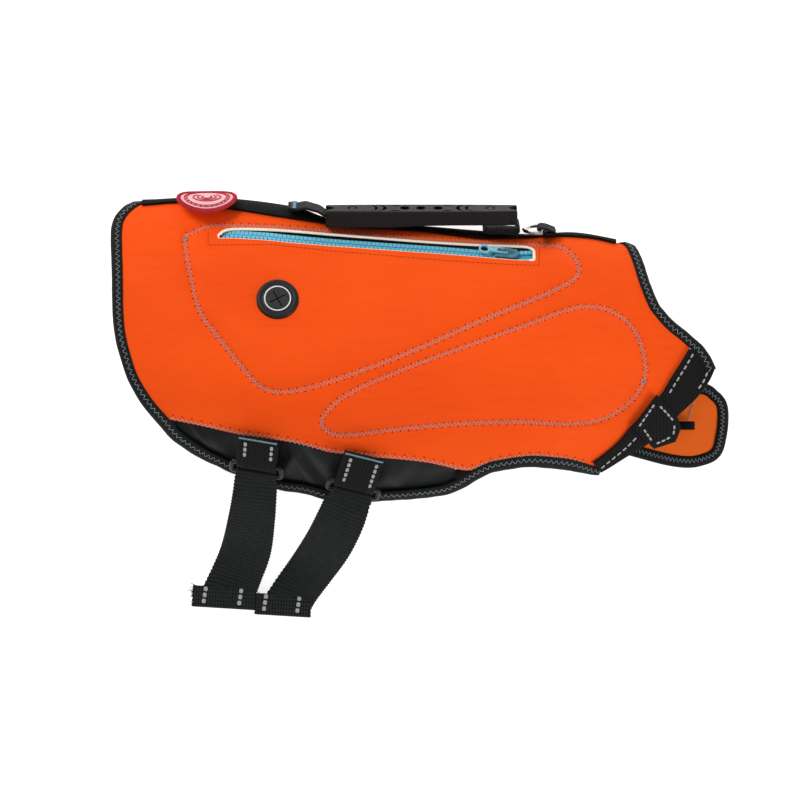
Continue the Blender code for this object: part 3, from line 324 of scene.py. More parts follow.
class Finish:
    """A procedural finish, built up node by node."""

    def __init__(self, name, roughness, specular=0.3, metallic=0.0, sheen=0.0):
        self.material = bpy.data.materials.new(name)
        self.material.use_nodes = True
        self.nodes, self.links = self.material.node_tree.nodes, self.material.node_tree.links
        self.shader = self.nodes["Principled BSDF"]
        for socket, value in (("Roughness", roughness), ("Specular IOR Level", specular),
                              ("Metallic", metallic), ("Sheen Weight", sheen), ("Sheen Roughness", 0.5)):
            self.shader.inputs[socket].default_value = value
        self.height = None

    def place(self, scale, uv=False):
        """Coordinates in the piece's own frame, or along its weave."""
        if uv:
            source = self.nodes.new("ShaderNodeUVMap")
            source.uv_map = "weave"
            start = source.outputs["UV"]
        else:
            start = self.nodes.new("ShaderNodeTexCoord").outputs["Object"]
        mapping = self.nodes.new("ShaderNodeMapping")
        mapping.inputs["Scale"].default_value = scale
        self.links.new(start, mapping.inputs["Vector"])
        return mapping.outputs["Vector"]

    def noise(self, scale, stretch=(1, 1, 1), detail=3.0):
        """Irregular grain."""
        node = self.nodes.new("ShaderNodeTexNoise")
        node.inputs["Scale"].default_value = scale
        node.inputs["Detail"].default_value = detail
        self.links.new(self.place(stretch), node.inputs["Vector"])
        return node.outputs["Fac"]

    def bands(self, direction, pitch, distortion):
        """Even ridges at a pitch in metres."""
        node = self.nodes.new("ShaderNodeTexWave")
        node.wave_type = "BANDS"
        node.bands_direction = direction
        node.inputs["Scale"].default_value = 0.314 / pitch
        node.inputs["Distortion"].default_value = distortion
        self.links.new(self.place((1, 1, 1), True), node.inputs["Vector"])
        return node.outputs["Fac"]

    def join(self, operation, a, b):
        """Arithmetic on two heights."""
        node = self.nodes.new("ShaderNodeMath")
        node.operation = operation
        for socket, value in zip(node.inputs, (a, b)):
            if isinstance(value, (int, float)):
                socket.default_value = value
            else:
                self.links.new(value, socket)
        return node.outputs[0]

    def colour(self, dark, light, factor, low=0.3, high=0.7):
        """Colour between two shades."""
        ramp = self.nodes.new("ShaderNodeValToRGB")
        ramp.color_ramp.elements[0].position, ramp.color_ramp.elements[1].position = low, high
        ramp.color_ramp.elements[0].color = (*linear(dark), 1)
        ramp.color_ramp.elements[1].color = (*linear(light), 1)
        self.links.new(factor, ramp.inputs["Fac"])
        self.links.new(ramp.outputs["Color"], self.shader.inputs["Base Color"])
        return self

    def bump(self, height, strength, distance):
        """Relief."""
        node = self.nodes.new("ShaderNodeBump")
        node.inputs["Strength"].default_value = strength
        node.inputs["Distance"].default_value = distance
        self.links.new(height, node.inputs["Height"])
        self.links.new(node.outputs["Normal"], self.shader.inputs["Normal"])
        return self

    def vary_roughness(self, factor, low, high):
        """Uneven gloss."""
        node = self.nodes.new("ShaderNodeMapRange")
        node.inputs["To Min"].default_value, node.inputs["To Max"].default_value = low, high
        self.links.new(factor, node.inputs["Value"])
        self.links.new(node.outputs["Result"], self.shader.inputs["Roughness"])
        return self


def jersey(name, dark, light, sheen):
    """Stretch jersey bonded to foam: fine lines along the body and a faint mottling."""
    f = Finish(name, 0.78, 0.16, sheen=sheen)
    knit = f.join("ADD", f.join("MULTIPLY", f.noise(260, (0.35, 3.0, 3.0), 2.0), 0.6),
                  f.noise(1900, (1, 1, 1), 1.0))
    tone = f.join("ADD", f.join("MULTIPLY", f.noise(16, (0.5, 1, 1)), 0.7),
                  f.join("MULTIPLY", f.noise(120, (0.3, 3.4, 3.4), 2.0), 0.3))
    return f.colour(dark, light, tone, 0.3, 0.7).bump(knit, 0.22, 0.00025).material


def ribbed(name, dark, light, rib, pick, depth=0.55):
    """Webbing with ribs along its length and picks across it; its colour follows the rib relief, so the
    raised ribs carry a painted highlight.
    """
    f = Finish(name, 0.78, 0.14, sheen=0.02)
    along = f.bands("Y", rib, 0.3)
    across = f.bands("X", pick, 0.6)
    relief = f.join("ADD", along, f.join("MULTIPLY", across, 0.55))
    # tone: the rib relief as a painted highlight on the raised ribs, plus random grain
    tone = f.join("ADD", f.join("MULTIPLY", relief, 0.45), f.join("MULTIPLY", f.noise(300, (1, 1, 1)), 0.35))
    return f.colour(dark, light, tone, 0.2, 0.85).bump(relief, depth, 0.0003).material


def plain(name, dark, light, roughness, grain, depth=0.2, specular=0.3, metallic=0.0, sheen=0.0, gloss=None):
    """A moulded, enamelled, metal or fine cloth finish with its own grain."""
    f = Finish(name, roughness, specular, metallic, sheen)
    pattern = f.noise(grain)
    f.colour(dark, light, pattern).bump(pattern, depth, 0.0002)
    if gloss:
        f.vary_roughness(f.noise(grain / 9), *gloss)
    return f.material


ORANGE = jersey("orange jersey", (241, 75, 5), (254, 87, 8), 0.02)
# the chest flap's orange is set brighter than the panel's: painted light that offsets the shade the flap lies
# in
CHEST_ORANGE_LIT = jersey("chest orange jersey painted lighter", (255, 98, 22), (255, 112, 30), 0.05)
LINING = jersey("charcoal lining", (44, 45, 47), (56, 57, 59), 0.05)
FOAM = plain("cream foam edge", (246, 228, 204), (255, 246, 232), 0.9, 700)
NYLON_CLOTH = plain("smooth black nylon", (9, 11, 11), (17, 19, 19), 0.46, 45, 0.12, 0.26, gloss=(0.36, 0.56))
BIND = plain("black knit binding", (6, 7, 7), (18, 20, 20), 0.75, 1500, 0.5, 0.2, sheen=0.05)
WEB_FLAT = ribbed("black webbing", (7, 7, 7), (24, 24, 23), 0.0021, 0.0015)
# the strap webbing's light shade is raised as a painted highlight of light caught by its weave
WEB_STRAP = ribbed("black strap webbing", (4, 5, 5), (42, 46, 44), 0.0017, 0.0024, 0.9)
WEB_FINE = ribbed("black fine webbing", (3, 3, 3), (14, 14, 13), 0.0012, 0.0012)
THREAD = plain("pale thread", (168, 146, 138), (204, 186, 176), 0.7, 2400)
THREAD_DIM = plain("grey thread", (128, 140, 142), (176, 186, 186), 0.7, 2400)
BARTACK = plain("pale blue thread", (104, 146, 158), (140, 178, 188), 0.65, 2400)
REFLECT = plain("reflective stitches", (138, 138, 136), (178, 178, 176), 0.45, 1600, 0.3, 0.5)
DARK_THREAD = plain("dark thread ends", (14, 15, 15), (34, 36, 36), 0.8, 2400)
# dark blue: painted shade for the gaps between the zip teeth
ZIP_SHADE = plain("zip tooth gap shade", (38, 92, 112), (52, 112, 134), 0.7, 900)
# dark red-brown: painted shade in the needle holes and in the groove of the zip window's stitch
HOLE_SHADE = plain("needle hole shade", (112, 34, 20), (140, 48, 28), 0.9, 900)
TAPE = ribbed("blue zip tape", (70, 158, 186), (104, 196, 222), 0.0011, 0.0009)
TEETH = plain("blue zip teeth", (92, 182, 212), (118, 204, 230), 0.42, 900, 0.08, 0.4)
ENAMEL = plain("blue slider enamel", (54, 110, 126), (84, 146, 164), 0.34, 300, 0.08, 0.5)
PULL = plain("pale blue pull enamel", (120, 184, 206), (140, 202, 222), 0.32, 300, 0.08, 0.5)
# the grip's top is darker than its sides: painted shade that offsets the key light falling on the top
GRIP_TOP_SHADED = plain("grip top rubber painted darker", (9, 9, 9), (16, 16, 16), 0.6, 1400, 0.35, 0.16, gloss=(0.55, 0.7))
GRIP_SIDE = plain("grip side rubber", (16, 13, 12), (26, 22, 20), 0.62, 1400, 0.35, 0.2)
# near-black: painted shade in the grip's recesses and the port's slits
RECESS_SHADE = plain("recess shade rubber", (4, 4, 4), (10, 9, 9), 0.8, 1400, 0.3, 0.1)
PORT_RUBBER = plain("port rubber", (14, 14, 14), (26, 26, 26), 0.5, 900, 0.25, 0.3)
PORT_CORE = plain("port centre rubber", (38, 39, 39), (52, 53, 53), 0.6, 900, 0.25, 0.2)
PORT_RING = plain("port white ring", (222, 222, 222), (244, 244, 244), 0.5, 600, 0.1, 0.35)
PLASTIC = plain("black plastic", (14, 12, 13), (24, 22, 23), 0.36, 500, 0.12, 0.45, gloss=(0.3, 0.46))
STEEL = plain("polished steel", (196, 194, 192), (226, 224, 222), 0.14, 200, 0.04, 0.5, 1.0,
              gloss=(0.1, 0.24))
PATCH_RED = plain("crimson embroidery", (160, 24, 40), (198, 44, 60), 0.75, 1800, 0.6)
PATCH_PINK = plain("pink embroidery", (222, 158, 166), (244, 196, 200), 0.75, 1800, 0.6)


# ---------------------------------------------------------------- meshes
SELVEDGE = 0.45              # rounding of a webbing's edges
WEBBING_STEP = 1.1           # distance between its cross sections


def mesh_from(name, points, faces, crease=None):
    """A mesh from points in millimetres, facing outwards, with edges past the crease angle sharp."""
    mesh = bpy.data.meshes.new(name)
    mesh.from_pydata((np.asarray(points) * MM).tolist(), [], [list(map(int, f)) for f in faces])
    form = bmesh.new()
    form.from_mesh(mesh)
    bmesh.ops.recalc_face_normals(form, faces=form.faces)
    for edge in form.edges if crease else ():
        edge.smooth = edge.calc_face_angle(0) < math.radians(crease)
    form.to_mesh(mesh)
    form.free()
    return mesh


def linked(name, mesh):
    """A mesh as an object in the scene."""
    item = bpy.data.objects.new(name, mesh)
    bpy.context.scene.collection.objects.link(item)
    return item


def show(name, points, faces, finishes, slot, stands_for=(), which=None, weave=None, crease=38):
    """A finished piece from points in millimetres; closed, facing outwards, on the jacket."""
    mesh = mesh_from(name, points, faces, crease)
    mesh.polygons.foreach_set("use_smooth", [True] * len(mesh.polygons))
    for finish in finishes:
        mesh.materials.append(finish)
    if which is not None:
        mesh.polygons.foreach_set("material_index", np.asarray(which, np.int32))
    if weave is not None:
        layer = mesh.uv_layers.new(name="weave")
        corners = np.zeros(len(mesh.loops), np.int32)
        mesh.loops.foreach_get("vertex_index", corners)
        layer.data.foreach_set("uv", (np.asarray(weave) * MM)[corners].astype(np.float32).ravel())
    return settle(linked(name, mesh), stands_for)


def show_parts(name, parts, finish, slot):
    """Several small lots as one piece."""
    return show(name, *gather(parts)[:2], [finish], slot)


def settle(item, stands_for=(), body="jacket"):
    """Put a piece on its body and hide the imported parts that it stands for."""
    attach(item, body)
    if stands_for:
        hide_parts(*stands_for)
    return item


def wall_faces(n, m):
    """Faces of a closed wall between two n by m grids."""
    cell = np.arange(n * m).reshape(n, m)
    top = np.stack([cell[:-1, :-1], cell[1:, :-1], cell[1:, 1:], cell[:-1, 1:]], -1).reshape(-1, 4)
    rim = np.concatenate([cell[:, 0], cell[-1, 1:], cell[-2::-1, -1], cell[0, -2:0:-1]])
    after = np.roll(rim, -1)
    side = np.stack([rim, after, after + n * m, rim + n * m], -1)
    return top, top[:, ::-1] + n * m, side


def wall(name, outer, inner, finishes, slot, stands_for, crease=38):
    """A closed wall between two grids; finishes are for the outer face, the inner face and the rim."""
    n, m = outer.shape[:2]
    top, low, side = wall_faces(n, m)
    which = np.concatenate([np.zeros(len(top)), np.full(len(low), min(1, len(finishes) - 1)),
                            np.full(len(side), min(2, len(finishes) - 1))])
    points = np.concatenate([outer.reshape(-1, 3), inner.reshape(-1, 3)])
    u, v = np.zeros((2, n, m))
    u[1:] = np.cumsum(np.linalg.norm(np.diff(outer, axis=0), axis=-1), axis=0)
    v[:, 1:] = np.cumsum(np.linalg.norm(np.diff(outer, axis=1), axis=-1), axis=1)
    u = np.broadcast_to(u.mean(axis=1, keepdims=True), (n, m))
    weave = np.concatenate([np.stack([u, v], -1).reshape(-1, 2)] * 2)
    return show(name, points, np.concatenate([top, low, side]), finishes, slot, stands_for,
                which=which, weave=weave, crease=crease)


def patch(top, right, low, left, columns, rows):
    """A grid spread between four edges."""
    top, low = spread(top, columns)[:, None], spread(low, columns)[:, None]
    left, right = spread(left, rows)[None], spread(right, rows)[None]
    s = np.linspace(0, 1, columns)[:, None, None]
    t = np.linspace(0, 1, rows)[None, :, None]
    corners = ((1 - s) * (1 - t) * top[0] + s * (1 - t) * top[-1] + (1 - s) * t * low[0] + s * t * low[-1])
    return (1 - t) * top + t * low + (1 - s) * left + s * right - corners


def directions(line, closed=False):
    """Unit directions along a line."""
    if closed:
        return unit(np.roll(line, -1, axis=0) - np.roll(line, 1, axis=0))
    ahead = np.vstack([line[1:], line[-1:]]) - np.vstack([line[:1], line[:-1]])
    return unit(ahead)


def sweep(line, normals, profile, closed=False, side=None):
    """Points and faces of a closed profile of (side, height) pairs carried along a line."""
    ahead = directions(line, closed)
    if side is None:
        side = unit(np.cross(ahead, normals))
    n, k = len(line), len(profile)
    profile = np.asarray(profile, float)
    if profile.ndim == 2:
        profile = np.broadcast_to(profile, (n, k, 2))
    k = profile.shape[1]
    up = np.asarray(normals)[:, None]
    points = line[:, None] + side[:, None] * profile[..., :1] + up * profile[..., 1:]
    cell = np.arange(n * k).reshape(n, k)
    wide = np.concatenate([cell, cell[:, :1]], 1)
    if closed:
        wide = np.concatenate([wide, wide[:1]], 0)
    faces = np.stack([wide[:-1, :-1], wide[1:, :-1], wide[1:, 1:], wide[:-1, 1:]], -1).reshape(-1, 4).tolist()
    if not closed:
        faces += [cell[0].tolist(), cell[-1, ::-1].tolist()]
    u = np.broadcast_to(reach_of(line)[:, None], (n, k))
    steps = np.linalg.norm(np.diff(profile, axis=1), axis=-1)
    v = np.cumsum(np.concatenate([np.zeros((n, 1)), steps], 1), axis=1)
    return points.reshape(-1, 3), faces, np.stack([u, v], -1).reshape(-1, 2)


def gather(parts):
    """Several (points, faces, weave) lots as one."""
    points, faces, weave, start = [], [], [], 0
    for p, f, w in parts:
        points.append(p)
        weave.append(w)
        faces += [[i + start for i in face] for face in f]
        start += len(p)
    return np.concatenate(points), faces, np.concatenate(weave)


def strand(line, radius, sides=5, normal=(0.02, 0.03, 1), closed=False):
    """A thread along a line."""
    normal = np.broadcast_to(np.asarray(normal, float), line.shape)
    ahead = directions(line, closed)
    normal = unit(normal - ahead * np.sum(normal * ahead, -1, keepdims=True))
    return sweep(line, normal, circle(sides) * radius, closed)


def zigzag(line, normals, pitch, half, lift, sink=0.35):
    """Points of a zigzag stitch that dips into the cloth at each turn."""
    reach = reach_of(line)
    count = max(2, int(round(reach[-1] / pitch * 2)))
    want = np.linspace(0, reach[-1], count * 2 + 1)
    base, up = at_reach(line, want), unit(at_reach(normals, want, reach))
    side = np.cross(directions(base), up)
    k = np.arange(len(want))
    swing = np.where(k % 2 == 1, 0, np.where(k % 4 == 0, 1, -1))
    height = np.where(k % 2 == 1, lift, lift - sink)
    return base + side * (swing * half)[:, None] + up * height[:, None]


def dots(points, normals, radius, sides=7, height=0.12):
    """Small shallow cones, for needle holes and knots; in dark finishes they are painted shade for the needle
    holes and the gaps between zip teeth.
    """
    parts = []
    ring = circle(sides)
    for point, normal in zip(points, normals):
        a = unit(np.cross(normal, (0.3, 0.8, 0.1)))
        b = np.cross(normal, a)
        rim = point + (ring[:, :1] * a + ring[:, 1:] * b) * radius
        verts = np.vstack([rim, [point + normal * height], [point - normal * 0.4]])
        faces = [[k, (k + 1) % sides, sides] for k in range(sides)]
        faces += [[(k + 1) % sides, k, sides + 1] for k in range(sides)]
        parts.append((verts, faces, np.zeros((len(verts), 2))))
    return parts


def strip_profile(half, thickness):
    """Cross section of webbing: flat faces and rounded selvedges."""
    t = thickness / 2
    e = min(SELVEDGE, t)
    return [(-half + e, -t), (-half * 0.5, -t), (0, -t), (half * 0.5, -t), (half - e, -t), (half, -t + e),
            (half, t - e), (half - e, t), (half * 0.5, t), (0, t), (-half * 0.5, t), (-half + e, t),
            (-half, t - e), (-half, -t + e)]


def webbing_run(path, wides, halves, thickness, tooth):
    """Webbing along a path, with the direction of its width at each point; tooth roughens its edges."""
    path, wides = np.asarray(path, float), unit(np.asarray(wides, float))
    reach = reach_of(path)
    count = max(len(path), int(reach[-1] / WEBBING_STEP))
    base = spread(through(path, steps=8), count)
    share = np.linspace(0, 1, count)
    source = reach / reach[-1]
    wide = unit(at_reach(wides, share, source))
    half = np.interp(share, source, halves)
    normal = unit(np.cross(directions(base), wide))
    rows = [strip_profile(half[i] + tooth * math.cos(math.pi * i), thickness) for i in range(count)]
    return base, normal, np.array(rows), wide


# ---------------------------------------------------------------- the two neoprene panels
def panel_outline():
    """Edges of a panel in cloth coordinates: top, front, low and rear."""
    ridge = [(x, 1.0) for x in range(-152, 132, 12)] + [(131.0, 1.0)]
    top = np.vstack([ridge, pin(NECK_EDGE)])
    rear = np.vstack([[(-152.0, 1.0)], pin(REAR_EDGE)])
    return through(top, steps=4), through(pin(FRONT_EDGE)), through(pin(SEAM_EDGE)), through(rear)


def standing(origin, along, up):
    """A frame in metres at a point in millimetres, local X along and local Z up."""
    z = Vector(up).normalized()
    x = (Vector(along) - z * Vector(along).dot(z)).normalized()
    turn = Matrix((x, z.cross(x), z)).transposed().to_4x4()
    return Matrix.Translation(Vector(origin) * MM) @ turn


def edge_spots(count):
    """The window's outline in cloth coordinates, top then low edge."""
    first, last = ZIP[0][0], ZIP[-1][0]
    x = first + (last - first) * (0.5 - 0.5 * np.cos(np.linspace(0, math.pi, count)))
    return pin(np.stack([x, read(ZIP, 1, x)], -1)), pin(np.stack([x, read(ZIP, 2, x)], -1))


def cut_with(item, cutter):
    """Take a cutter out of a piece, and give the cut faces the cutter's finish."""
    step = item.modifiers.new("cut", "BOOLEAN")
    step.operation, step.solver, step.object = "DIFFERENCE", "EXACT", cutter
    step.material_mode = "TRANSFER"
    with bpy.context.temp_override(object=item, active_object=item, selected_objects=[item]):
        bpy.ops.object.modifier_apply(modifier=step.name)
    bpy.data.objects.remove(cutter)


def loose_solid(name, points, faces, finish):
    """A closed solid that is used once as a cutter."""
    mesh = mesh_from(name, points, faces)
    mesh.materials.append(finish)
    return linked(name, mesh)


def panel_cloth(name, columns, rows, place, lift_of):
    """A padded panel; place puts near-side spots on its own side, lift_of is how far its face stands out."""
    grid = patch(*panel_outline(), columns, rows)
    plan = section(grid[..., 0], grid[..., 1])[..., :2]
    swell = np.clip(np.maximum(*(depth_in(plan, pad) for pad in PADS)) / PAD_EASE, 0, 1)
    spots = place(grid)
    hollow = skin(spots, -CLOTH - PAD_DEPTH * np.sin(swell * math.pi / 2))
    return wall(name + "_cloth", skin(spots, lift_of(plan)), hollow, [ORANGE, LINING, BIND],
                "orange_neoprene", [name])


panel_near = panel_cloth("panel_near", 220, 100, np.array, cloth_lift)
top_spots, low_spots = edge_spots(70)
window = np.stack([top_spots, low_spots], 1)
n, m = window.shape[:2]
outer, inner = skin(window, 7.0), skin(window, -15.0)
window_points = np.concatenate([outer.reshape(-1, 3), inner.reshape(-1, 3)])
window_faces = np.concatenate(wall_faces(n, m))
# the cutter's black nylon goes onto the window's cut walls as painted shade: the dark gap between the cream
# edge and the tape
cut_with(panel_near, loose_solid("window_shade_cutter", window_points, window_faces, NYLON_CLOTH))

# the cream cut edge that shows along the window
edge_line = np.vstack([top_spots, low_spots[::-1]])
edge_line = spread(np.vstack([edge_line, edge_line[:1]]), 401)[:-1]
edge_middle = np.interp(edge_line[:, 0], *((top_spots + low_spots) / 2).T)
edge_high = np.clip((edge_line[:, 1] - edge_middle) * -0.6, -1, 1)
edge_high = np.where(edge_line[:, 0] > ZIP[-1][0] - 3, 1, edge_high)
edge_half = 0.58 + 0.38 * edge_high
edge_plan = section(edge_line[:, 0], edge_line[:, 1])[:, :2]
edge_profile = np.array(((-1, -0.5), (-0.8, 0.2), (0, 0.45), (0.8, 0.2), (1, -0.5)))[None] * np.stack(
    [edge_half, np.full(len(edge_half), 0.7)], -1)[:, None]
made, faces, weave = sweep(skin(edge_line, cloth_lift(edge_plan)), outward(*edge_line.T), edge_profile,
                           closed=True)
show("zip_window_edge", made, faces, [FOAM], "orange_neoprene", weave=weave, crease=80)
port_spot = pin(PORT_CENTRE)
PORT_FRAME = standing(skin(port_spot, PAD_RISE), (1, 0, 0), outward(*port_spot))
bpy.ops.mesh.primitive_cylinder_add(vertices=64, radius=12.7 * MM, depth=30 * MM)
port_hole = bpy.context.object
port_hole.matrix_world = PORT_FRAME
port_hole.data.materials.append(FOAM)
bpy.context.view_layer.update()
cut_with(panel_near, port_hole)

panel_far = panel_cloth("panel_far", 110, 46, tuck, lambda plan: 0.0)


# ---------------------------------------------------------------- belly flaps
def ripples(x, t):
    """Soft folds of the belly nylon: across it near the rear tab, and along it near the hem."""
    rise = np.zeros(np.broadcast(x, t).shape)
    for centre, lean, width, height in ((-112, 8, 5.0, 0.9), (-100, -6, 4.0, -0.8), (-60, 16, 3.2, 1.3),
                                        (-52, 20, 4.4, -1.3), (-66, -14, 3.0, 0.9), (-6, 10, 4.0, 1.0),
                                        (8, -8, 5.0, -0.9), (-120, 14, 3.4, 0.8)):
        rise = rise + height * np.exp(-((x - centre - lean * (t - 0.5)) / width) ** 2) * np.sin(math.pi * t)
    return rise + 0.5 * np.sin(x / 9.0 + 3 * t) * np.sin(math.pi * t)


def flap_grid(count_x, count_t):
    """Cloth coordinates of the belly flap, with the share of the way from its seam to its hem."""
    x = np.linspace(-134.5, 33.0, count_x)[:, None]
    t = np.linspace(0, 1, count_t)[None]
    high = pin(np.concatenate([x, read(FLAP, 1, x) + 1.2], 1))
    low = pin(np.concatenate([x, read(FLAP, 2, x) - 0.2], 1))
    grid = high[:, None] * (1 - t[..., None]) + low[:, None] * t[..., None]
    return grid, x, t


grid, x, t = flap_grid(120, 26)
lift = -NYLON_SET_BACK + ripples(x, t)
flap_near = wall("belly_flap_near_cloth", skin(grid, lift), skin(grid, lift - 0.9), [NYLON_CLOTH],
                 "black_nylon", ["belly_flap_near"])
grid, x, t = flap_grid(70, 10)
flap_far = wall("belly_flap_far_cloth", skin(tuck(grid), -FAR_LIFT), skin(tuck(grid), -FAR_LIFT - 1.0),
                [NYLON_CLOTH], "black_nylon", ["belly_flap_far"])


# ---------------------------------------------------------------- bindings
def both_sides(near):
    """A near edge that starts at the ridge, continued over the ridge along the far side."""
    return np.vstack([near[::-1], tuck(near)])


def over_straps(spots):
    """1 along the far hem where the straps pass under it, 0 elsewhere."""
    ends = np.minimum.reduce([(spots[:, 0] + 146) / 16, (48 - spots[:, 0]) / 12, (-spots[:, 1] - 110) / 8])
    return np.clip(ends, 0, 1)


# the folded binding: a lip over the cloth's face, a rounded edge, and a lip behind it;
# the flat one has no lip above the face, for the side that lies on the surface
FOLD_PROFILE = np.array((
    (-0.9, 0.12), (-0.8, 0.55), (0.3, 0.95), (1.6, 1.0), (3.0, 1.0), (4.4, 0.85), (5.5, 0.35),
    (6.15, -0.6), (6.3, -1.6), (6.0, -2.5), (5.2, -3.0), (3.6, -3.2), (0.6, -3.2), (0.5, -1.6), (0.35, 0.12)))
FLAT_PROFILE = np.array((
    (0.3, -0.05), (0.35, 0.0), (0.6, 0.0), (1.6, 0.0), (3.0, 0.0), (4.4, -0.05), (5.5, -0.2),
    (6.15, -0.8), (6.3, -1.4), (6.0, -2.4), (5.2, -2.9), (3.6, -3.1), (0.6, -3.1), (0.4, -2.0), (0.3, -0.3)))


def binding(name, spots, falls, stands_for, widen=0.0):
    """A folded binding along an edge of the skin; falls lowers it, and widen makes it wider along the
    near hem, except towards its front end."""
    points, normals = skin(spots), outward(*spots.T)
    shares = np.clip((spots[:, 1] + 14) / 28, 0, 1)[:, None, None]
    profile = FOLD_PROFILE[None] * shares + FLAT_PROFILE[None] * (1 - shares)
    wide = np.clip((spots[:, 1] - 100) / 15, 0, 1) * np.clip((115 - spots[:, 0]) / 12, -1.4, 1)
    profile[..., 0] *= 1 + widen * wide[:, None]
    profile[..., 1] -= np.asarray(falls)[:, None]
    wave = 0.12 * np.sin(np.arange(len(points)) * 0.9) + 0.07 * np.sin(np.arange(len(points)) * 0.37)
    profile[..., 1] += wave[:, None]
    made, faces, weave = sweep(points, normals, profile)
    return show(name, made, faces, [BIND], "black_binding", stands_for, weave=weave, crease=60)


rear = np.vstack([[(-152.6, 1.0)], pin(REAR_EDGE)])
hem_line = np.vstack([rear, pin(HEM_EDGE[1:]), pin(SEAM_EDGE[9:]), pin(((120.4, -77.0),))])
near_hem = spread(through(hem_line, steps=8), 260)
hem_spots = both_sides(near_hem)[::-1]
binding("binding_hem_fold", hem_spots, FAR_LIFT * over_straps(hem_spots), ["binding_hem"], 0.25)
near_neck = spread(through(np.vstack([[(131.8, 1.0)], pin(NECK_EDGE[:-1] + ((172.6, -2.9),))]), steps=8), 80)
corner = pin(((172.6, -2.9), (177.4, -8.0), (181.2, -13.6), (183.8, -19.6)))
over_end = spread(through(corner, steps=8), 26)[1:]
neck_spots = np.vstack([over_end[::-1], both_sides(near_neck)])
neck_falls = np.zeros(len(neck_spots))
neck_falls[:25] = -1.7 * np.clip((24 - np.arange(25)) / 7, 0, 1)
binding("binding_neck_fold", neck_spots, neck_falls, ["binding_neck"])


# ---------------------------------------------------------------- stitches on the orange cloth
ZIGZAG_LEG = 4               # points along each leg of a zigzag
THREAD_LIFT = 0.26           # how far a thread stands above the cloth between its holes
THREAD_DIP = 0.2             # how far it drops at each hole
HOLE_LIFT = 0.06


def surface_path(line, extra=0.0):
    """A line on the orange cloth through near-side points seen from above."""
    spots = pin(line)
    return skin(spots, cloth_lift(line) + extra), outward(*spots.T)


def offset(line, by):
    """A plan line moved sideways, to its left where by is positive."""
    ahead = directions(line)
    return line + np.stack([-ahead[:, 1], ahead[:, 0]], -1) * by


def surface_zigzag(line, pitch, half, radius=0.2):
    """A zigzag thread that follows the padded surface, from a plan line."""
    count = max(2, int(reach_of(line)[-1] / pitch * 2))
    base = spread(line, count * ZIGZAG_LEG + 1)
    swing = 1 - 4 * np.abs(np.arange(len(base)) / ZIGZAG_LEG / 2 % 1 - 0.5)
    path, normals = surface_path(offset(base, (swing * half)[:, None]))
    return strand(path + normals * (THREAD_LIFT - THREAD_DIP * np.abs(swing) ** 3)[:, None], radius, 5)


def needle_hole_shades(line, start, pitch, radius):
    """Dark dots at even distances along a plan line: painted shade in the needle holes."""
    path, normals = surface_path(line)
    reach = reach_of(path)
    want = np.arange(start, reach[-1], pitch)
    up = unit(at_reach(normals, want, reach))
    return dots(at_reach(path, want, reach) + up * HOLE_LIFT, up, radius)


threads, holes, knots = [], [], []
for outline, count in ((UPPER_PAD, 700), (LOWER_PAD, 560)):
    line = through(outline, closed=True, steps=8)
    line = spread(np.vstack([line, line[:1]]), count)
    threads.append(surface_zigzag(line, 2.3, 1.35, 0.19))
    for by, start in ((1.7, 1.2), (-1.7, 3.65)):
        holes += needle_hole_shades(offset(line, by), start, 4.9, 0.5)
seam = spread(through(SEAM_EDGE), 420)
threads.append(surface_zigzag(offset(seam, 1.0)[3:-9], 2.8, 0.85))
holes += needle_hole_shades(offset(seam, 2.9), 3, 5.9, 0.55)
show_parts("pad_stitches", threads, THREAD, "orange_neoprene")
# the holes' dark red-brown is painted shade
show_parts("needle_hole_shades", holes, HOLE_SHADE, "orange_neoprene")

# the straight stitch round the zip window, as dark dashes of painted shade in its groove and holes
ZIP_FRAME_LINE = (
    (-114.8, 63.6), (-114.6, 55.2), (-77, 55.5), (-59, 53.4), (-36, 51), (33, 45.3), (53, 44.1), (69, 43.2),
    (83.2, 43.0), (84.0, 55.0))
path, _ = surface_path(spread(ZIP_FRAME_LINE, 420))
reach = reach_of(path)
frame_shade_dashes = []
for start in np.arange(0, reach[-1] - 1.6, 2.6):
    at = at_reach(path, np.linspace(start, start + 1.9, 4), reach)
    rise = np.array((-0.1, 0.12, 0.12, -0.1))[:, None]
    frame_shade_dashes.append(strand(at + outward(*pin(at[1, :2])) * rise, 0.17, 5))
show_parts("zip_frame_stitch_shade", frame_shade_dashes, HOLE_SHADE, "orange_neoprene")

# thread ends left where each pad's stitching starts
for x, y in ((-128.6, 60.6), (145.6, -25.0)):
    coil = np.array([(x + 1.3 * math.cos(a) * (1 + 0.3 * math.sin(3 * a)), y + 1.1 * math.sin(a))
                     for a in np.linspace(0, 4 * math.pi, 40)])
    path, normals = surface_path(coil, extra=0.5)
    knots.append(strand(path + normals * (0.25 * np.sin(np.linspace(0, 9, 40)))[:, None], 0.22, 5))
show_parts("thread_knots", knots, THREAD_DIM, "orange_neoprene")

# zigzag along the bindings
binding_threads = []
for spots, rise, inwards in ((near_hem[4:], np.zeros(256), -1.9),
                             (np.vstack([near_neck, over_end])[3:], -neck_falls[:102][::-1], 1.9)):
    line, normals = skin(spots, rise), outward(*spots.T)
    line = line - np.cross(directions(line), normals) * inwards
    binding_threads.append(strand(zigzag(line, normals, 3.4, 1.3, 1.22, 0.2), 0.14, 5))
show_parts("binding_stitches", binding_threads, THREAD_DIM, "black_binding")


# ---------------------------------------------------------------- webbing and straps
DASH_HEIGHT = 0.28
DASH_SWELL = np.array((0.7, 0.98, 1.0, 0.98, 0.7))[:, None, None]    # its thickness along its length
FRONT_GAP = 0.5              # the front webbing above the cloth
TAB_GAP = 2.7                # the chest tab above the cloth


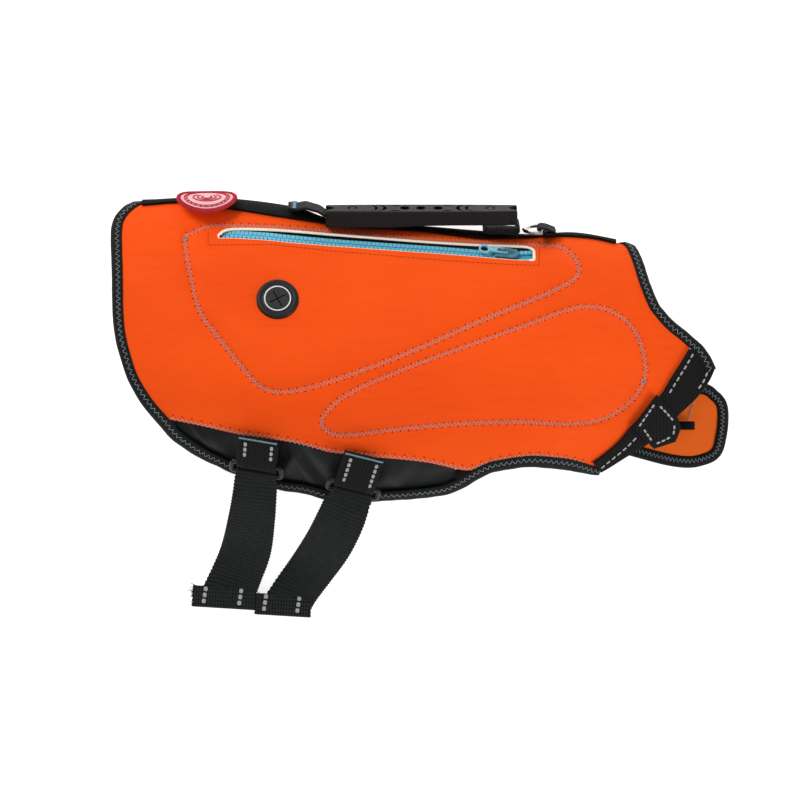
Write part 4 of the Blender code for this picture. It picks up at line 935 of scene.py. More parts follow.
def webbing(name, path, wides, halves, thickness, finish, stands_for, tooth=0.0):
    """A shown length of webbing."""
    base, normal, rows, wide = webbing_run(path, wides, halves, thickness, tooth)
    points, faces, weave = sweep(base, normal, rows, side=wide)
    return show(name, points, faces, [finish], "black_webbing", stands_for, weave=weave, crease=50)


def dashes_on(line, normals, pitch, length, width):
    """Short raised reflective stitches along a line on webbing."""
    reach = reach_of(line)
    rows = (circle(8) * (width / 2, DASH_HEIGHT))[None] * DASH_SWELL
    parts = []
    for start in np.arange(pitch * 0.3, reach[-1] - length, pitch):
        want = np.linspace(start, start + length, 5)
        parts.append(sweep(at_reach(line, want, reach), unit(at_reach(normals, want, reach)), rows))
    return parts


def disc_faces(rings, turns):
    """Faces of two discs, each a centre and rings of points round it, joined by a rim."""
    size = 1 + rings * turns
    faces = []
    for start in (0, size):
        cell = start + 1 + np.arange(rings * turns).reshape(rings, turns)
        for k in range(turns):
            after = (k + 1) % turns
            faces.append([start, cell[0, k], cell[0, after]])
            faces += [[cell[r, k], cell[r + 1, k], cell[r + 1, after], cell[r, after]]
                      for r in range(rings - 1)]
    rim = size - turns + np.arange(turns)
    return faces + np.stack([rim, np.roll(rim, -1), size + np.roll(rim, -1), size + rim], -1).tolist()


def bar_tack(start, end, normals, half=0.75, pitch=0.75):
    """A dense zigzag bar of thread between two points."""
    line = np.linspace(start, end, 40)
    return strand(zigzag(line, np.broadcast_to(normals, line.shape), pitch, half, 0.3, 0.15), 0.22, 5)


# spine band
x = spread(((-155.5, 0.0), (130.0, 0.0)), 154)[:, 0]
near_w = pin(np.stack([x, read(BAND, 1, x)], -1))[:, 1]
far_w = []
for station, w in zip(x, near_w):
    steps = w - np.arange(0, 140) * 0.5
    line = section(np.full(len(steps), station), steps)
    far_w.append(np.interp(BAND_WIDTH, reach_of(line), steps))
band = near_w[:, None] + (np.array(far_w) - near_w)[:, None] * np.linspace(0, 1, 17)[None]
band_grid = np.stack([np.broadcast_to(x[:, None], band.shape), band], -1)
across = np.linspace(-1, 1, 17)
crown = 0.35 * (1 - across ** 8)[None] - 0.1
lift = BAND_GAP + WEBBING - 0.35 + crown
spine = wall("spine_band_webbing", skin(band_grid, lift), skin(band_grid, np.full(lift.shape, BAND_GAP)),
             [WEB_FINE], "black_webbing", ["spine_band"], crease=50)

# front webbing with its two reflective rows
on_edge = spread(through([row[:2] for row in FRONT_WEBBING]), 90)
free_edge = spread(through([row[2:] for row in FRONT_WEBBING]), 90)
share = np.linspace(0, 1, 13)[None, :, None]
flat_plan = on_edge[:, None] * (1 - share) + free_edge[:, None] * share
spots = pin(flat_plan)
rounding = 0.3 * (1 - np.abs(share[..., 0] * 2 - 1) ** 8)
top_lift = FRONT_GAP + WEBBING - 0.3 + rounding * np.ones((90, 1))
front_low = skin(spots, np.full(top_lift.shape, FRONT_GAP))
front_near = wall("front_webbing_near_band", skin(spots, top_lift), front_low, [WEB_FLAT],
                  "black_webbing", ["front_webbing_near"], crease=50)
far_share = 0.42 + 0.52 * np.linspace(0, 1, 9)[None, :, None]
far_plan_band = on_edge[:, None] * (1 - far_share) + free_edge[:, None] * far_share
spots = tuck(pin(far_plan_band))
front_far = wall("front_webbing_far_band", skin(spots), skin(spots, -WEBBING), [WEB_FLAT], "black_webbing",
                 ["front_webbing_far"], crease=50)


def plan_path(points, lift, count=60):
    """Points and normals over the near skin at a fixed lift."""
    spots = pin(spread(through(points), count))
    return skin(spots, lift), outward(*spots.T)


reflective = []
for row in (((175.8, -7.8), (170.2, -17.0), (163.0, -28.0), (159.6, -33.6)),
            ((184.2, -18.6), (181.2, -25.2), (176.4, -31.6)),
            ((141.6, -57.0), (134.0, -64.4), (124.0, -72.4), (119.6, -76.2))):
    reflective += dashes_on(*plan_path(row, FRONT_GAP + WEBBING + 0.12), 4.2, 2.7, 1.1)

# the stitched box where the chest strap joins
tab = np.array(CHEST_TAB)
middle = tab.mean(0)
outline = np.concatenate([np.linspace(tab[k], tab[(k + 1) % 6], 12, endpoint=False) for k in range(6)])
shares = np.array((0.0, 0.25, 0.5, 0.75, 0.94, 1.0))
rings = middle + (outline[None] - middle) * shares[:, None, None]
rings = np.concatenate([rings, rings[:, :1]], 1)
tab_lift = TAB_GAP + WEBBING - 0.25 * (shares > 0.97)[:, None] * np.ones((1, rings.shape[1]))
tab_spots = pin(rings)
tab_walls = skin(tab_spots, tab_lift), skin(tab_spots, np.full(tab_lift.shape, TAB_GAP))
points = np.concatenate([part for side in tab_walls for part in (side[0, :1], side[1:, :-1].reshape(-1, 3))])
show("chest_tab_box", points, disc_faces(len(rings) - 1, len(outline)), [WEB_FLAT], "black_webbing",
     ["chest_tab"], weave=points[:, [1, 0]], crease=50)
for row in (((151.2, -37.4), (146.4, -44.0), (141.6, -50.6)),
            ((153.6, -38.4), (159.0, -43.4), (163.6, -48.2)),
            ((163.4, -49.0), (163.2, -52.2), (162.8, -55.0)),
            ((161.6, -56.2), (156.4, -58.8), (151.4, -60.6)),
            ((144.2, -51.6), (148.0, -56.6), (150.8, -60.4))):
    reflective += dashes_on(*plan_path(row, TAB_GAP + WEBBING + 0.05, 24), 3.3, 2.3, 1.2)

# chest flap, its binding and its loop
HIGH = unit(np.array((CHEST_LEAN, 0.0, 1.0)))


def chest_point(points, lift=0.0):
    """Points of the chest flap's upper face."""
    points = np.asarray(points, float)
    z = 21.0 - CHEST_LEAN * (points[..., 0] - 122.0) - 0.0016 * (points[..., 1] + 50) ** 2
    return np.concatenate([points, z[..., None]], -1) + HIGH * np.asarray(lift, float)[..., None]


grid = patch(through(CHEST_TOP), through(CHEST_RIGHT), through(CHEST_LOW), through(CHEST_LEFT), 60, 36)
soft = 0.35 * np.sin(grid[..., 0] / 9.0) * np.sin(grid[..., 1] / 7.0)
chest = wall("chest_flap_cloth", chest_point(grid, soft), chest_point(grid, soft - CLOTH),
             [CHEST_ORANGE_LIT, LINING, BIND], "orange_neoprene", ["chest_flap"])
rim = spread(through(list(CHEST_TOP[2:]) + list(CHEST_RIGHT[1:]) + list(reversed(CHEST_LOW[1:-1]))), 110)
rim_points = chest_point(rim)
rim_normals = np.broadcast_to(HIGH, rim_points.shape)
taper = np.clip(0.25 + reach_of(rim) / 16, 0, 1)[:, None]
rim_profile = np.repeat((FOLD_PROFILE * (-1, 1))[None], len(rim), axis=0)
rim_profile[..., 0] *= taper
made, faces, weave = sweep(rim_points, rim_normals, rim_profile)
show("chest_flap_binding_fold", made, faces, [BIND], "black_binding", ["chest_flap_binding"], weave=weave,
     crease=60)
side = np.cross(directions(rim_points), rim_normals)
mend = chest_point(spread(((177.8, -36.0), (175.6, -43.0), (173.6, -49.4)), 30))
chest_threads = [
    strand(zigzag((rim_points - side * 2.2 * taper)[14:], rim_normals[14:], 2.4, 1.3, 1.22, 0.2), 0.16, 5),
    strand(zigzag(mend, rim_normals[:30], 1.7, 0.9, 0.5, 0.3), 0.17, 5)]
show_parts("chest_stitches", chest_threads, THREAD_DIM, "black_binding")
centre = chest_point((171.6, -51.4), 3.6)
arc = [centre + np.array((5.2 * math.cos(a), 0, 2.2 * math.sin(a)))
       for a in np.linspace(0.06, math.pi - 0.06, 24)]
webbing("chest_loop_webbing", arc, [(0, 1, 0)] * 24, [2.6] * 24, 1.1, WEB_FINE, ["chest_loop"])


# ---------------------------------------------------------------- belly rings, tabs and straps
RING_WIRE = 3.2
WRAP = RING_WIRE / 2 + 0.3 + WEBBING / 2
TAB_ROW = {"rear": 20, "front": 30}          # how far down each tab its reflective rows show
ROLL_SPARE = {"rear": 2.4, "front": 1.2}     # how much wider each strap's rolled end is


def arc_pairs(centre, radius, start, end, count):
    """Pairs on an arc, angles in degrees."""
    a = np.radians(np.linspace(start, end, count))
    return np.stack([centre[0] + radius * np.cos(a), centre[1] + radius * np.sin(a)], -1)


def lay(origin, along, up, pairs):
    """Points at (along, up) distances from an origin."""
    pairs = np.asarray(pairs, float)
    return origin + pairs[:, :1] * along + pairs[:, 1:] * up


def belly_fitting(name):
    """The ring, its tab and its strap, along the routes that their solids hold."""
    ring_x, ring_y, turn, tab_y = BELLY[name]
    spot = pin((ring_x, ring_y))
    up = outward(*spot)
    slope = unit(skin(pin((ring_x, ring_y + 4))) - skin(pin((ring_x, ring_y - 4))))
    across = unit(np.cross(slope, up))
    angle = math.radians(turn)
    up_body = unit(slope * math.cos(angle) + across * math.sin(angle))
    wide = unit(np.cross(up_body, up))
    centre = skin(spot) + up * (WRAP + WEBBING / 2 + 1.0)
    gap = 3.6
    corners = [(-15, 2.0), (-14.4, 3.2), (-13.2, gap), (0, gap), (13.2, gap), (14.4, 3.2), (15, 2.0),
               (15, -2.0), (14.4, -3.2), (13.2, -gap), (0, -gap), (-13.2, -gap), (-14.4, -3.2), (-15, -2.0)]
    ring = lay(centre, wide, up_body, through(corners, closed=True, steps=5))
    # a moulded bar: flat-sided oval
    bar = (1.6, 1.45) * np.sign(circle(14)) * np.abs(circle(14)) ** 0.7
    points, faces, _ = sweep(ring, np.broadcast_to(up, ring.shape), bar, closed=True)
    show("belly_ring_%s_moulded" % name, points, faces, [PLASTIC], "black_plastic", ["belly_ring_" + name],
         crease=60)

    run = (tab_y - ring_y) / max(up_body[1], 0.2)
    pairs = np.vstack([[(run - 1.5, -WRAP), (gap + 3.0, -WRAP)], arc_pairs((gap, 0), WRAP, 270, 90, 13),
                       [(gap + 3.0, WRAP), (run * 0.62, WRAP * 0.55), (run + 1.2, -0.4)]])
    path = lay(centre, up_body, up, pairs)
    webbing("belly_tab_%s_webbing" % name, path, [wide] * len(path), [12.0] * len(path), 1.3, WEB_FLAT,
            ["belly_tab_" + name])
    for by in (-7.4, 8.6):
        row = lay(centre + wide * by, up_body, up, [
            (run - 1.2, WRAP * 0.16 + 0.75), (run * 0.62, WRAP * 0.55 + 0.75), (gap + 1.5, WRAP + 0.72)])
        row = spread(through(row, steps=12), 30)[:TAB_ROW[name]]
        reflective.extend(dashes_on(row, np.broadcast_to(up, row.shape), 3.9, 2.7, 1.9))
    start = lay(centre - wide * 11.4, up_body, up, [(run + 0.6, WRAP * 0.05 + 0.8)])[0]
    tacks.append(bar_tack(start, start + wide * 22.8, up))

    bar_at = centre - up_body * gap
    level = WEBBING / 2
    hem_y = float(read(FLAP, 2, bar_at[0]))
    hem = pin((bar_at[0], hem_y))
    normal = outward(*hem)
    hem_slope = unit(skin(pin((bar_at[0], hem_y - 2))) - skin(pin((bar_at[0], hem_y + 2))))
    edge = skin(hem)
    round_hem = lay(edge, hem_slope, normal, (
        (10.4, -9.0), (11.0, -5.2), (11.0, -2.2), (9.6, 0.9), (6.6, 2.3), (1.0, 2.6)))
    foot = round_hem[0]
    clear_y = skin(tuck(hem))[1] - BINDING_GAP - BINDING - 1.0
    out_y = min(clear_y, foot[1])
    under = np.array([(bar_at[0], y, z) for y, z in (
        (edge[1] + 24, level), (edge[1] + 12, level), (clear_y + 3, level), (clear_y - 0.4, level + 0.4),
        (out_y - 4.0, level + 5.0), (out_y - 5.6, level + 14.0), (out_y - 4.2, foot[2] - 6.0))])
    under = np.vstack([under, round_hem, [bar_at - up * WRAP - up_body * 3.0]])
    wrapped = lay(bar_at, up_body, up, arc_pairs((0, 0), WRAP, 270, 450, 7))
    line = spread(through(TAILS[name]), 15)
    reach = reach_of(line[:, :2])
    fall = through([(k / 5, v) for k, v in enumerate(TAIL_HEIGHTS)])
    f = reach[1:] / reach[-1]
    share = np.interp(f, fall[:, 0], fall[:, 1])
    tail = np.column_stack([line[1:, :2], wrapped[-1][2] + (level - wrapped[-1][2]) * share])
    before, after = bar_at[0] - 6, bar_at[0] + 6
    at_after, at_before = (skin(pin((at, float(read(FLAP, 2, at))))) for at in (after, before))
    along_hem = at_after - at_before
    on_floor = unit(np.array((along_hem[0], along_hem[1], 0)))
    along_hem = unit(along_hem)
    turned_in = [along_hem * (1 - g) + wide * g for g in (0.5, 1.0)]
    sides = [on_floor] * 7 + [along_hem] * 5 + turned_in + [wide] * 7
    end_side = unit(np.array((0.998, -0.06, 0.0)))
    final = len(tail) - 1
    for i in range(len(tail)):
        ahead = tail[min(i + 1, final)] - tail[max(i - 1, 0)]
        square = unit(np.array((-ahead[1], ahead[0], 0)))
        square = square if square[0] > 0 else -square
        slant = max(0.0, (i / final - 0.7) / 0.3)
        sides.append(square * (1 - slant) + end_side * slant)
    halves = [11.4] * 14 + [12.0] * 7 + list(line[1:, 2])
    direction = np.cross(end_side, (0, 0, 1))
    roll = [tail[-1] + direction * a + np.array((0, 0, b)) for a, b in (
        (1.6, 0.1), (2.3, 0.7), (2.3, 1.5), (1.6, 2.1), (-2.0, 2.2), (-10.0, 2.4))]
    path = np.vstack([under, wrapped, tail, roll])
    sides += [end_side] * 6
    halves += [line[-1, 2] + ROLL_SPARE[name]] * 6
    sides = [s if s[0] > 0 else -np.asarray(s) for s in sides]
    strap = webbing("belly_strap_%s_webbing" % name, path, sides, halves, WEBBING, WEB_STRAP,
                    ["belly_strap_" + name], tooth=0.28)
    return tail[-1], end_side, direction, line[-1, 2]


tacks = []
for name in BELLY:
    end, end_side, direction, half = belly_fitting(name)
    lifts_row = np.broadcast_to((0.0, 0.0, 1.0), (20, 3))
    for by in (-0.66, 0.62):
        spread_row = np.linspace(end + end_side * half * by - direction * 10.6 + (0, 0, 3.3),
                                 end + end_side * half * (by - 0.08) + direction * 2.2 + (0, 0, 2.9), 20)
        reflective += dashes_on(spread_row, lifts_row, 3.7, 2.6, 2.3)
show_parts("reflective_rows", reflective, REFLECT, "black_webbing")


# ---------------------------------------------------------------- handle, leash ring and badge
LEAN = np.array((0, math.cos(ROLL), math.sin(ROLL)))
BREADTH = np.array((0, -math.sin(ROLL), math.cos(ROLL)))


def band_top(x):
    """Height of the spine band's outer face at station x, along LEAN."""
    w = np.arange(-20, 60, 4.0)
    return float((skin(np.stack([np.full(len(w), float(x)), w], -1), BAND_GAP + WEBBING) @ LEAN).max())


def over_spine(x, height):
    """A point above the middle of the spine band."""
    base = np.array((x, GRIP_CENTRE[1], GRIP_CENTRE[2]))
    return base + LEAN * (height - base @ LEAN)


grip_middle = np.array(GRIP_CENTRE) @ LEAN
LAY = 1.1
rear_path = [over_spine(x, h) for x, h in (
    (-67.4, band_top(-67) + LAY - 0.2), (-64.4, band_top(-64) + LAY), (-61.4, band_top(-61) + LAY + 0.5),
    (-57.0, band_top(-57) + LAY + 2.6), (-52.5, grip_middle + 4.6), (-48.6, grip_middle + 3.4),
    (-44.8, grip_middle + 0.6))]
front_path = [over_spine(x, h) for x, h in (
    (50.0, band_top(50) + LAY + 0.8), (53.5, band_top(53) + LAY), (59.0, band_top(59) + LAY + 0.7),
    (64.6, band_top(64) + LAY + 0.9), (69.0, band_top(69) + LAY + 1.1), (71.4, band_top(71) + LAY + 2.2),
    (71.0, grip_middle - 5.2), (69.4, grip_middle - 3.8), (67.8, grip_middle - 2.6),
    (66.4, grip_middle - 1.6))]
for name, path in (("rear", rear_path), ("front", front_path)):
    webbing("handle_webbing_%s_end" % name, path, [BREADTH] * len(path), [11.9] * len(path), 1.3, WEB_FLAT,
            ["handle_webbing_" + name])
tack_at = over_spine(-63.6, band_top(-64) + LAY + 0.9)
tacks.append(bar_tack(tack_at - BREADTH * 11.5, tack_at + BREADTH * 11.5, LEAN, half=1.3, pitch=0.9))

GRIP = standing(GRIP_CENTRE, (1, 0, 0), LEAN)


def into_mesh(item, matrix):
    """Put an operator-made piece in place, with its place in its mesh."""
    item.data.transform(matrix)
    item.matrix_world = Matrix()
    form = bmesh.new()
    form.from_mesh(item.data)
    bmesh.ops.remove_doubles(form, verts=form.verts, dist=1e-7)
    bmesh.ops.recalc_face_normals(form, faces=form.faces)
    form.to_mesh(item.data)
    form.free()
    return item


def bevelled(item, width, segments):
    """Round the edges of the active piece."""
    step = item.modifiers.new("rounding", "BEVEL")
    step.width, step.segments = width * MM, segments
    step.limit_method, step.angle_limit = "ANGLE", math.radians(35)
    step.harden_normals = False
    bpy.ops.object.modifier_apply(modifier=step.name)


def new_block(size):
    """A block at the origin as the active piece, its size in metres."""
    bpy.ops.mesh.primitive_cube_add(size=1.0, location=(0, 0, 0))
    item = bpy.context.object
    item.scale = size
    bpy.ops.object.transform_apply(location=False, rotation=False, scale=True)
    return item


def pick(item):
    """Make a piece the only one chosen."""
    bpy.ops.object.select_all(action="DESELECT")
    item.select_set(True)
    bpy.context.view_layer.objects.active = item


def smooth(item, angle):
    """Smooth shading with sharp corners kept."""
    pick(item)
    bpy.ops.object.shade_smooth_by_angle(angle=math.radians(angle))


def prism(outline, low, high):
    """Points and faces of an outline given a height."""
    count = len(outline)
    flat = np.array(outline, float)
    points = np.vstack([np.column_stack([flat, np.full(count, z)]) for z in (low, high)])
    faces = [list(range(count))[::-1], list(range(count, 2 * count))]
    faces += [[k, (k + 1) % count, (k + 1) % count + count, k + count] for k in range(count)]
    return points, faces, np.zeros((len(points), 2))


def placed(parts, place):
    """Points and faces of several lots, moved into a frame in metres."""
    points, faces, _ = gather(parts)
    turn = np.array(place)
    return ((points * MM) @ turn[:3, :3].T + turn[:3, 3]) / MM, faces


def oval(x, y, a, b, count=20):
    """An oval outline."""
    turn = np.linspace(0, 2 * math.pi, count, endpoint=False)
    return [(x + a * math.cos(t), y + b * math.sin(t)) for t in turn]


def crescent(x, reach, height, thick, count=12):
    """A curved groove that bends round towards the grip's end."""
    t = np.linspace(-0.46 * math.pi, 0.46 * math.pi, count)
    outer = [(x + reach * math.cos(a), height * math.sin(a)) for a in t]
    inner = [(x + (reach - thick) * math.cos(a) - 0.4, (height - 0.6) * math.sin(a)) for a in t[::-1]]
    return outer + inner


RECESS_TOP = 5.0             # every recess cuts up past the grip's face
STUD_AT = 41.4
grip = new_block((0.1154, 0.025, 0.0062))
grip.name = "handle_grip_moulded"
bpy.ops.object.mode_set(mode="EDIT")
bpy.ops.mesh.select_all(action="SELECT")
bpy.ops.mesh.subdivide(number_cuts=5)
bpy.ops.object.mode_set(mode="OBJECT")
for vertex in grip.data.vertices:
    share = abs(vertex.co.x) / 0.057
    vertex.co.y *= 1 - 0.10 * share ** 3
    vertex.co.z += 0.0011 * (vertex.co.z > 0.003)
    if vertex.co.z < 0:
        vertex.co.z -= 0.0014 + 0.0014 * min(1.0, max(0.0, (0.004 - vertex.co.x) / 0.02))
bevelled(grip, 1.5, 4)
grip.data.materials.append(GRIP_SIDE)
into_mesh(grip, Matrix())
recesses = [prism(oval(x, 0, 2.9, 5.6), 2.2, RECESS_TOP) for x in (-9.9, -0.3, 10.0)]
for sign in (-1, 1):
    recesses.append(prism(oval(sign * STUD_AT, 0, 3.1, 5.4, 24), 3.4, 5.2))
    for x, reach, height, thick in ((33.0, -7.0, 10.2, -2.2), (28.6, -8.0, 10.6, -2.8)):
        shape = [(sign * (x + (px - x)), y) for px, y in crescent(x, reach, height, thick)]
        recesses.append(prism(shape, 2.1, RECESS_TOP))
    for y in (-9.6, 9.6):
        tip = 6.4 if y > 0 else -6.4
        wedge = [(sign * 15.6 - 4.2, y), (sign * 15.6, tip), (sign * 15.6 + 4.2, y)]
        recesses.append(prism(wedge, 2.2, RECESS_TOP))
    notch = [(sign * 58.5, 9.0), (sign * 53.0, 2.0), (sign * 53.0, -2.0), (sign * 58.5, -9.0)]
    recesses.append(prism(notch, 1.2, RECESS_TOP))
points, faces, _ = gather(recesses)
# the recesses' cut faces take the cutter's near-black finish: painted shade
cut_with(grip, loose_solid("grip_cutter", points, faces, RECESS_SHADE))
# upward faces and studs get the darker top rubber: painted shade against the key light
grip.data.materials.append(GRIP_TOP_SHADED)
shaded_top_slot = len(grip.data.materials) - 1
for face in grip.data.polygons:
    if face.normal.z > 0.6 and face.center.z > 2.6 * MM and face.material_index == 0:
        face.material_index = shaded_top_slot
points, faces = placed([prism(oval(sign * STUD_AT, 0, 2.1, 3.7), 3.1, 4.1) for sign in (-1, 1)], GRIP)
grip.data.transform(GRIP)
grip.data.update()
smooth(grip, 35)
settle(grip, ["handle_grip"])
show("grip_studs", points, faces, [GRIP_TOP_SHADED], "grip_rubber")

loop_axis = over_spine(85.0, band_top(85.0) + 0.3 + 1.2 + 0.3 + 1.2)
wrap = 1.2 + 0.3 + 0.6       # half the ring's bar, the gap and half the webbing
pairs = np.vstack([[(9.0, -wrap + 0.5), (3.0, -wrap)], arc_pairs((0, 0), wrap, 270, 90, 11),
                   [(3.0, wrap * 0.8), (5.6, 0.6), (8.4, -0.4)]])
path = lay(loop_axis, np.array((1.0, 0, 0)), LEAN, pairs)
webbing("leash_loop_webbing", path, [BREADTH] * len(path), [9.0] * len(path), 1.0, WEB_FINE, ["leash_loop"])

# badge: a sewn disc with a thick overlocked rim
tilt = math.radians(20)
badge_out = np.array((0, math.cos(tilt), math.sin(tilt)))
badge_across = np.array((0, -math.sin(tilt), math.cos(tilt)))


def on_badge(u, v, height):
    """Points of the patch, bent over the spine."""
    u, v, height = (np.asarray(value, float)[..., None] for value in (u, v, height))
    middle = np.array(BADGE_CENTRE) + u * np.array((1.0, 0, 0))
    return middle + v * badge_across + badge_out * (height - v * v / 110)


def on_ring(radius, angles, height=1.85, squash=1.0):
    """A line round the patch; its default height is that of the embroidery."""
    angles = np.asarray(angles)
    return on_badge(radius * np.cos(angles), radius * np.sin(angles) * squash, np.full(angles.shape, height))


turn = np.linspace(0, 2 * math.pi, 64, endpoint=False)
radii = np.linspace(0, 16.6, 14)[1:]
disc = radii[:, None] * np.cos(turn), radii[:, None] * np.sin(turn)
points = np.vstack([part for height in (1.7, 0.5) for part in (
    on_badge(0, 0, height)[None], on_badge(*disc, np.full((len(radii), 64), height)).reshape(-1, 3))])
show("badge_field", points, disc_faces(len(radii), 64), [PATCH_PINK], "patch_cloth", ["badge"])
rim_parts = [strand(on_ring(17.0, turn, 1.25), 1.15, 8, badge_out, closed=True)]
for k in range(150):
    a = 2 * math.pi * k / 150
    arc = [on_badge(r * math.cos(a + 0.05 * s), r * math.sin(a + 0.05 * s), h) for r, h, s in (
        (15.9, 1.5, 0), (16.4, 2.35, 0.3), (17.2, 2.5, 0.6), (18.0, 1.9, 0.9), (18.2, 0.9, 1.0))]
    rim_parts.append(strand(np.array(arc), 0.3, 4, badge_out))
show_parts("badge_rim", rim_parts, PATCH_RED, "patch_cloth")
badge_lines = []
for radius, count in ((13.6, 48), (11.9, 44)):
    a = np.linspace(0, 2 * math.pi, count, endpoint=False)
    badge_lines.append(strand(on_ring(radius, a), 0.32, 5, badge_out, closed=True))
for k in range(24):
    a = 2 * math.pi * k / 24
    badge_lines.append(strand(on_ring(np.array((12.4, 13.2)), np.array((a, a))), 0.5, 5, badge_out))
for radius in (3.0, 5.6, 8.2):
    a = np.linspace(-0.8, math.pi + 0.8, 30)
    badge_lines.append(strand(on_ring(radius, a, squash=0.8), 0.42, 5, badge_out))
show_parts("badge_embroidery", badge_lines, PATCH_RED, "patch_cloth")

# ---------------------------------------------------------------- zip
TAPE_TOP, TAPE_LOW = -1.3, -2.9
first, last = ZIP[0][0] + 0.4, ZIP[-1][0] - 0.4
x = np.linspace(first, last, 150)
edges = np.linspace(0, 1, 9)[None]
low_y = read(ZIP, 2, x)[:, None] + 0.4
top_y = np.minimum(read(ZIP, 1, x)[:, None] - 0.4, low_y + 6.6)
tape_spots = pin(np.stack([np.broadcast_to(x[:, None], (150, 9)), top_y * (1 - edges) + low_y * edges], -1))
tape = wall("zip_tape_cloth", skin(tape_spots, np.full((150, 9), TAPE_TOP)),
            skin(tape_spots, np.full((150, 9), TAPE_LOW)), [TAPE], "zip_tape", ["zip_tape"])

tooth = new_block((2.36 * MM, 2.9 * MM, 1.7 * MM))
bevelled(tooth, 0.22, 2)
tooth_points = np.array([v.co for v in tooth.data.vertices]) / MM
tooth_faces = [list(face.vertices) for face in tooth.data.polygons]
bpy.data.objects.remove(tooth)


def chain_y(x):
    """Middle line of the zip's teeth."""
    return read(ZIP, 2, x) + 3.9


teeth = []
for k, x in enumerate(np.arange(-106.0, 79.5, 1.27)):
    if 58.5 < x < 69.5:
        continue
    side = 1 if k % 2 else -1
    apart = 1.25 if x < 64 else 1.25 + min(1.3, (x - 68) * 0.3)
    spot = pin((x, float(chain_y(x)) + side * apart))
    ahead_spot = pin((x + 1, float(chain_y(x + 1)) + side * apart))
    up = outward(*spot)
    along = unit(skin(ahead_spot) - skin(spot))
    cross = np.cross(up, along)
    at = skin(spot, TAPE_TOP + 0.75)
    points = at + tooth_points[:, :1] * along + tooth_points[:, 1:2] * cross + tooth_points[:, 2:] * up
    teeth.append((points, tooth_faces, np.zeros((len(points), 2))))
show_parts("zip_teeth", teeth, TEETH, "blue_enamel")
# dark blue dots at the base of the lower teeth: painted shade in the gaps between the teeth
tooth_gap_shades, tapes = [], []
for x in np.arange(-104.6, 57.0, 2.54):
    spot = pin((x, float(chain_y(x)) - 1.9))
    tooth_gap_shades += dots([skin(spot, TAPE_TOP + 1.64)], [outward(*spot)], 0.58, 7, 0.06)
show_parts("zip_tooth_gap_shades", tooth_gap_shades, ZIP_SHADE, "blue_enamel")
x = np.linspace(first + 3, last - 2, 200)
for by in (-3.1, 2.5):
    spots = pin(np.stack([x, chain_y(x) + by], -1))
    tapes.append(strand(zigzag(skin(spots, TAPE_TOP), outward(*spots.T), 1.5, 0.45, 0.25, 0.1), 0.14, 4))
show_parts("zip_tape_stitches", tapes, TEETH, "zip_tape")


# ---------------------------------------------------------------- port
def turned(name, profile, finish, stands_for=()):
    """A piece of the port: a profile of (radius, height) pairs spun round the port's axis."""
    mesh = bpy.data.meshes.new(name)
    edges = [(i, i + 1) for i in range(len(profile) - 1)]
    mesh.from_pydata([(r * MM, 0, h * MM) for r, h in profile], edges, [])
    item = linked(name, mesh)
    pick(item)
    bpy.ops.object.mode_set(mode="EDIT")
    bpy.ops.mesh.select_all(action="SELECT")
    bpy.ops.mesh.spin(steps=64, angle=2 * math.pi, center=(0, 0, 0), axis=(0, 0, 1))
    bpy.ops.mesh.select_all(action="SELECT")
    bpy.ops.mesh.remove_doubles(threshold=1e-6)
    bpy.ops.mesh.normals_make_consistent(inside=False)
    bpy.ops.object.mode_set(mode="OBJECT")
    item.data.materials.append(finish)
    into_mesh(item, PORT_FRAME)
    smooth(item, 45)
    settle(item, stands_for)


FLANGE_PROFILE = (
    (0, 0.7), (3.0, 0.75), (5.6, 0.9), (6.4, 1.3), (7.0, 1.5), (8.6, 1.55), (9.0, 1.3), (9.6, 1.35),
    (10.6, 1.7), (11.6, 1.5), (12.3, 0.9), (12.55, 0.2), (12.4, -0.5), (7.5, -0.8), (7.4, -8.6), (0, -8.6))
CORE_PROFILE = ((0, 1.2), (5.4, 1.22), (6.9, 1.5), (7.2, 1.3), (6.9, 0.9), (0, 0.9))
RING_PROFILE = ((7.3, 1.45), (7.4, 1.75), (7.7, 1.9), (8.0, 1.75), (8.1, 1.45), (7.7, 1.3), (7.3, 1.45))
SLIT = ((-5.4, -0.34), (5.4, -0.34), (5.4, 0.34), (-5.4, 0.34))
turned("port_flange", FLANGE_PROFILE, PORT_RUBBER, ["port_grommet"])
turned("port_core", CORE_PROFILE, PORT_CORE)
turned("port_ring_line", RING_PROFILE, PORT_RING)
slits = []
for c, s in ((math.cos(angle), math.sin(angle)) for angle in (math.radians(28), math.radians(118))):
    slits.append(prism([(x * c - y * s, x * s + y * c) for x, y in SLIT], 0.8, 1.3))
# the slits are near-black prisms: painted shade in the port's slits
show("port_slit_shades", *placed(slits, PORT_FRAME), [RECESS_SHADE], "port_rubber")

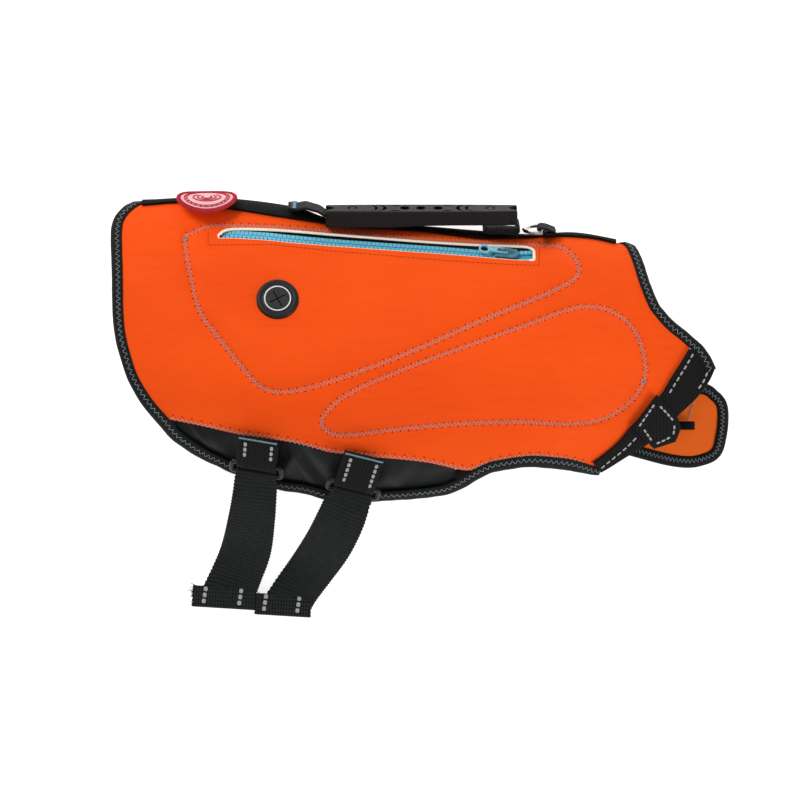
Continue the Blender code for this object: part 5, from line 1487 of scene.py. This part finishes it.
# ---------------------------------------------------------------- loose thread ends
frays = []
rng = np.random.default_rng(4)
for k in range(16):
    start = np.array((-124.6 + rng.uniform(0, 1.5), -148.6 - k * 0.62, 2.2 + rng.uniform(0, 1.4)))
    run = np.array((-1.0, rng.uniform(-0.7, 0.6), rng.uniform(-0.15, 0.1))) * rng.uniform(1.2, 4.6)
    bend = np.array((0, rng.uniform(-0.9, 0.9), rng.uniform(-0.2, 0.5)))
    line = np.array([start + run * f + bend * f * f for f in np.linspace(0, 1, 6)])
    line[:, 2] = np.maximum(line[:, 2], 0.3)
    frays.append(strand(line, 0.24, 4))
line = np.array([(-87.2, -151.6, 3.4), (-85.8, -152.4, 3.8), (-84.6, -153.2, 3.6), (-84.0, -153.6, 3.2)])
frays.append(strand(line, 0.15, 4))
show_parts("frayed_ends", frays, DARK_THREAD, "black_webbing")
show_parts("bar_tacks", tacks, BARTACK, "black_webbing")

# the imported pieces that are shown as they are, in their own finishes
for node, finish in (("leash_ring", STEEL), ("zip_slider", ENAMEL), ("zip_pull", PULL)):
    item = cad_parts[node]
    item.data.materials.clear()
    item.data.materials.append(finish)


# ---------------------------------------------------------------- floor, light and camera
bpy.ops.mesh.primitive_plane_add(size=14.0, location=(0, 0, -0.0012))
floor = bpy.context.object
floor.name = "floor"
FLOOR = plain("pale floor", (244, 244, 244), (248, 248, 248), 0.9, 3, 0.0, 0.1)
floor_shader = FLOOR.node_tree.nodes["Principled BSDF"]
floor_shader.inputs["Emission Color"].default_value = (1, 1, 1, 1)
floor_shader.inputs["Emission Strength"].default_value = 0.72
floor.data.materials.append(FLOOR)


def lamp(name, place, aim, size, energy, colour=(1, 1, 1)):
    """A soft square light."""
    light = bpy.data.lights.new(name, "AREA")
    light.size, light.energy, light.color = size, energy, colour
    item = bpy.data.objects.new(name, light)
    item.location = place
    item.rotation_euler = (Vector(aim) - Vector(place)).to_track_quat("-Z", "Y").to_euler()
    bpy.context.scene.collection.objects.link(item)


lamp("key", (-1.2, 1.4, 1.6), (0, 0, 0.02), 0.9, 29.5)
lamp("fill", (1.8, -1.2, 1.1), (0.08, -0.02, 0.02), 1.2, 26)
world = bpy.data.worlds.new("studio")
world.use_nodes = True
world.node_tree.nodes["Background"].inputs["Color"].default_value = (1, 1, 1, 1)
world.node_tree.nodes["Background"].inputs["Strength"].default_value = 0.46
bpy.context.scene.world = world
bpy.context.scene.view_settings.view_transform = "Standard"

camera_data = bpy.data.cameras.new("camera")
camera_data.lens = 300.0
camera_data.sensor_width = 36.0
camera_data.clip_end = 100.0
camera = bpy.data.objects.new("camera", camera_data)
camera.location = (0.0, -0.036, 4.04)
bpy.context.scene.collection.objects.link(camera)
bpy.context.scene.camera = camera
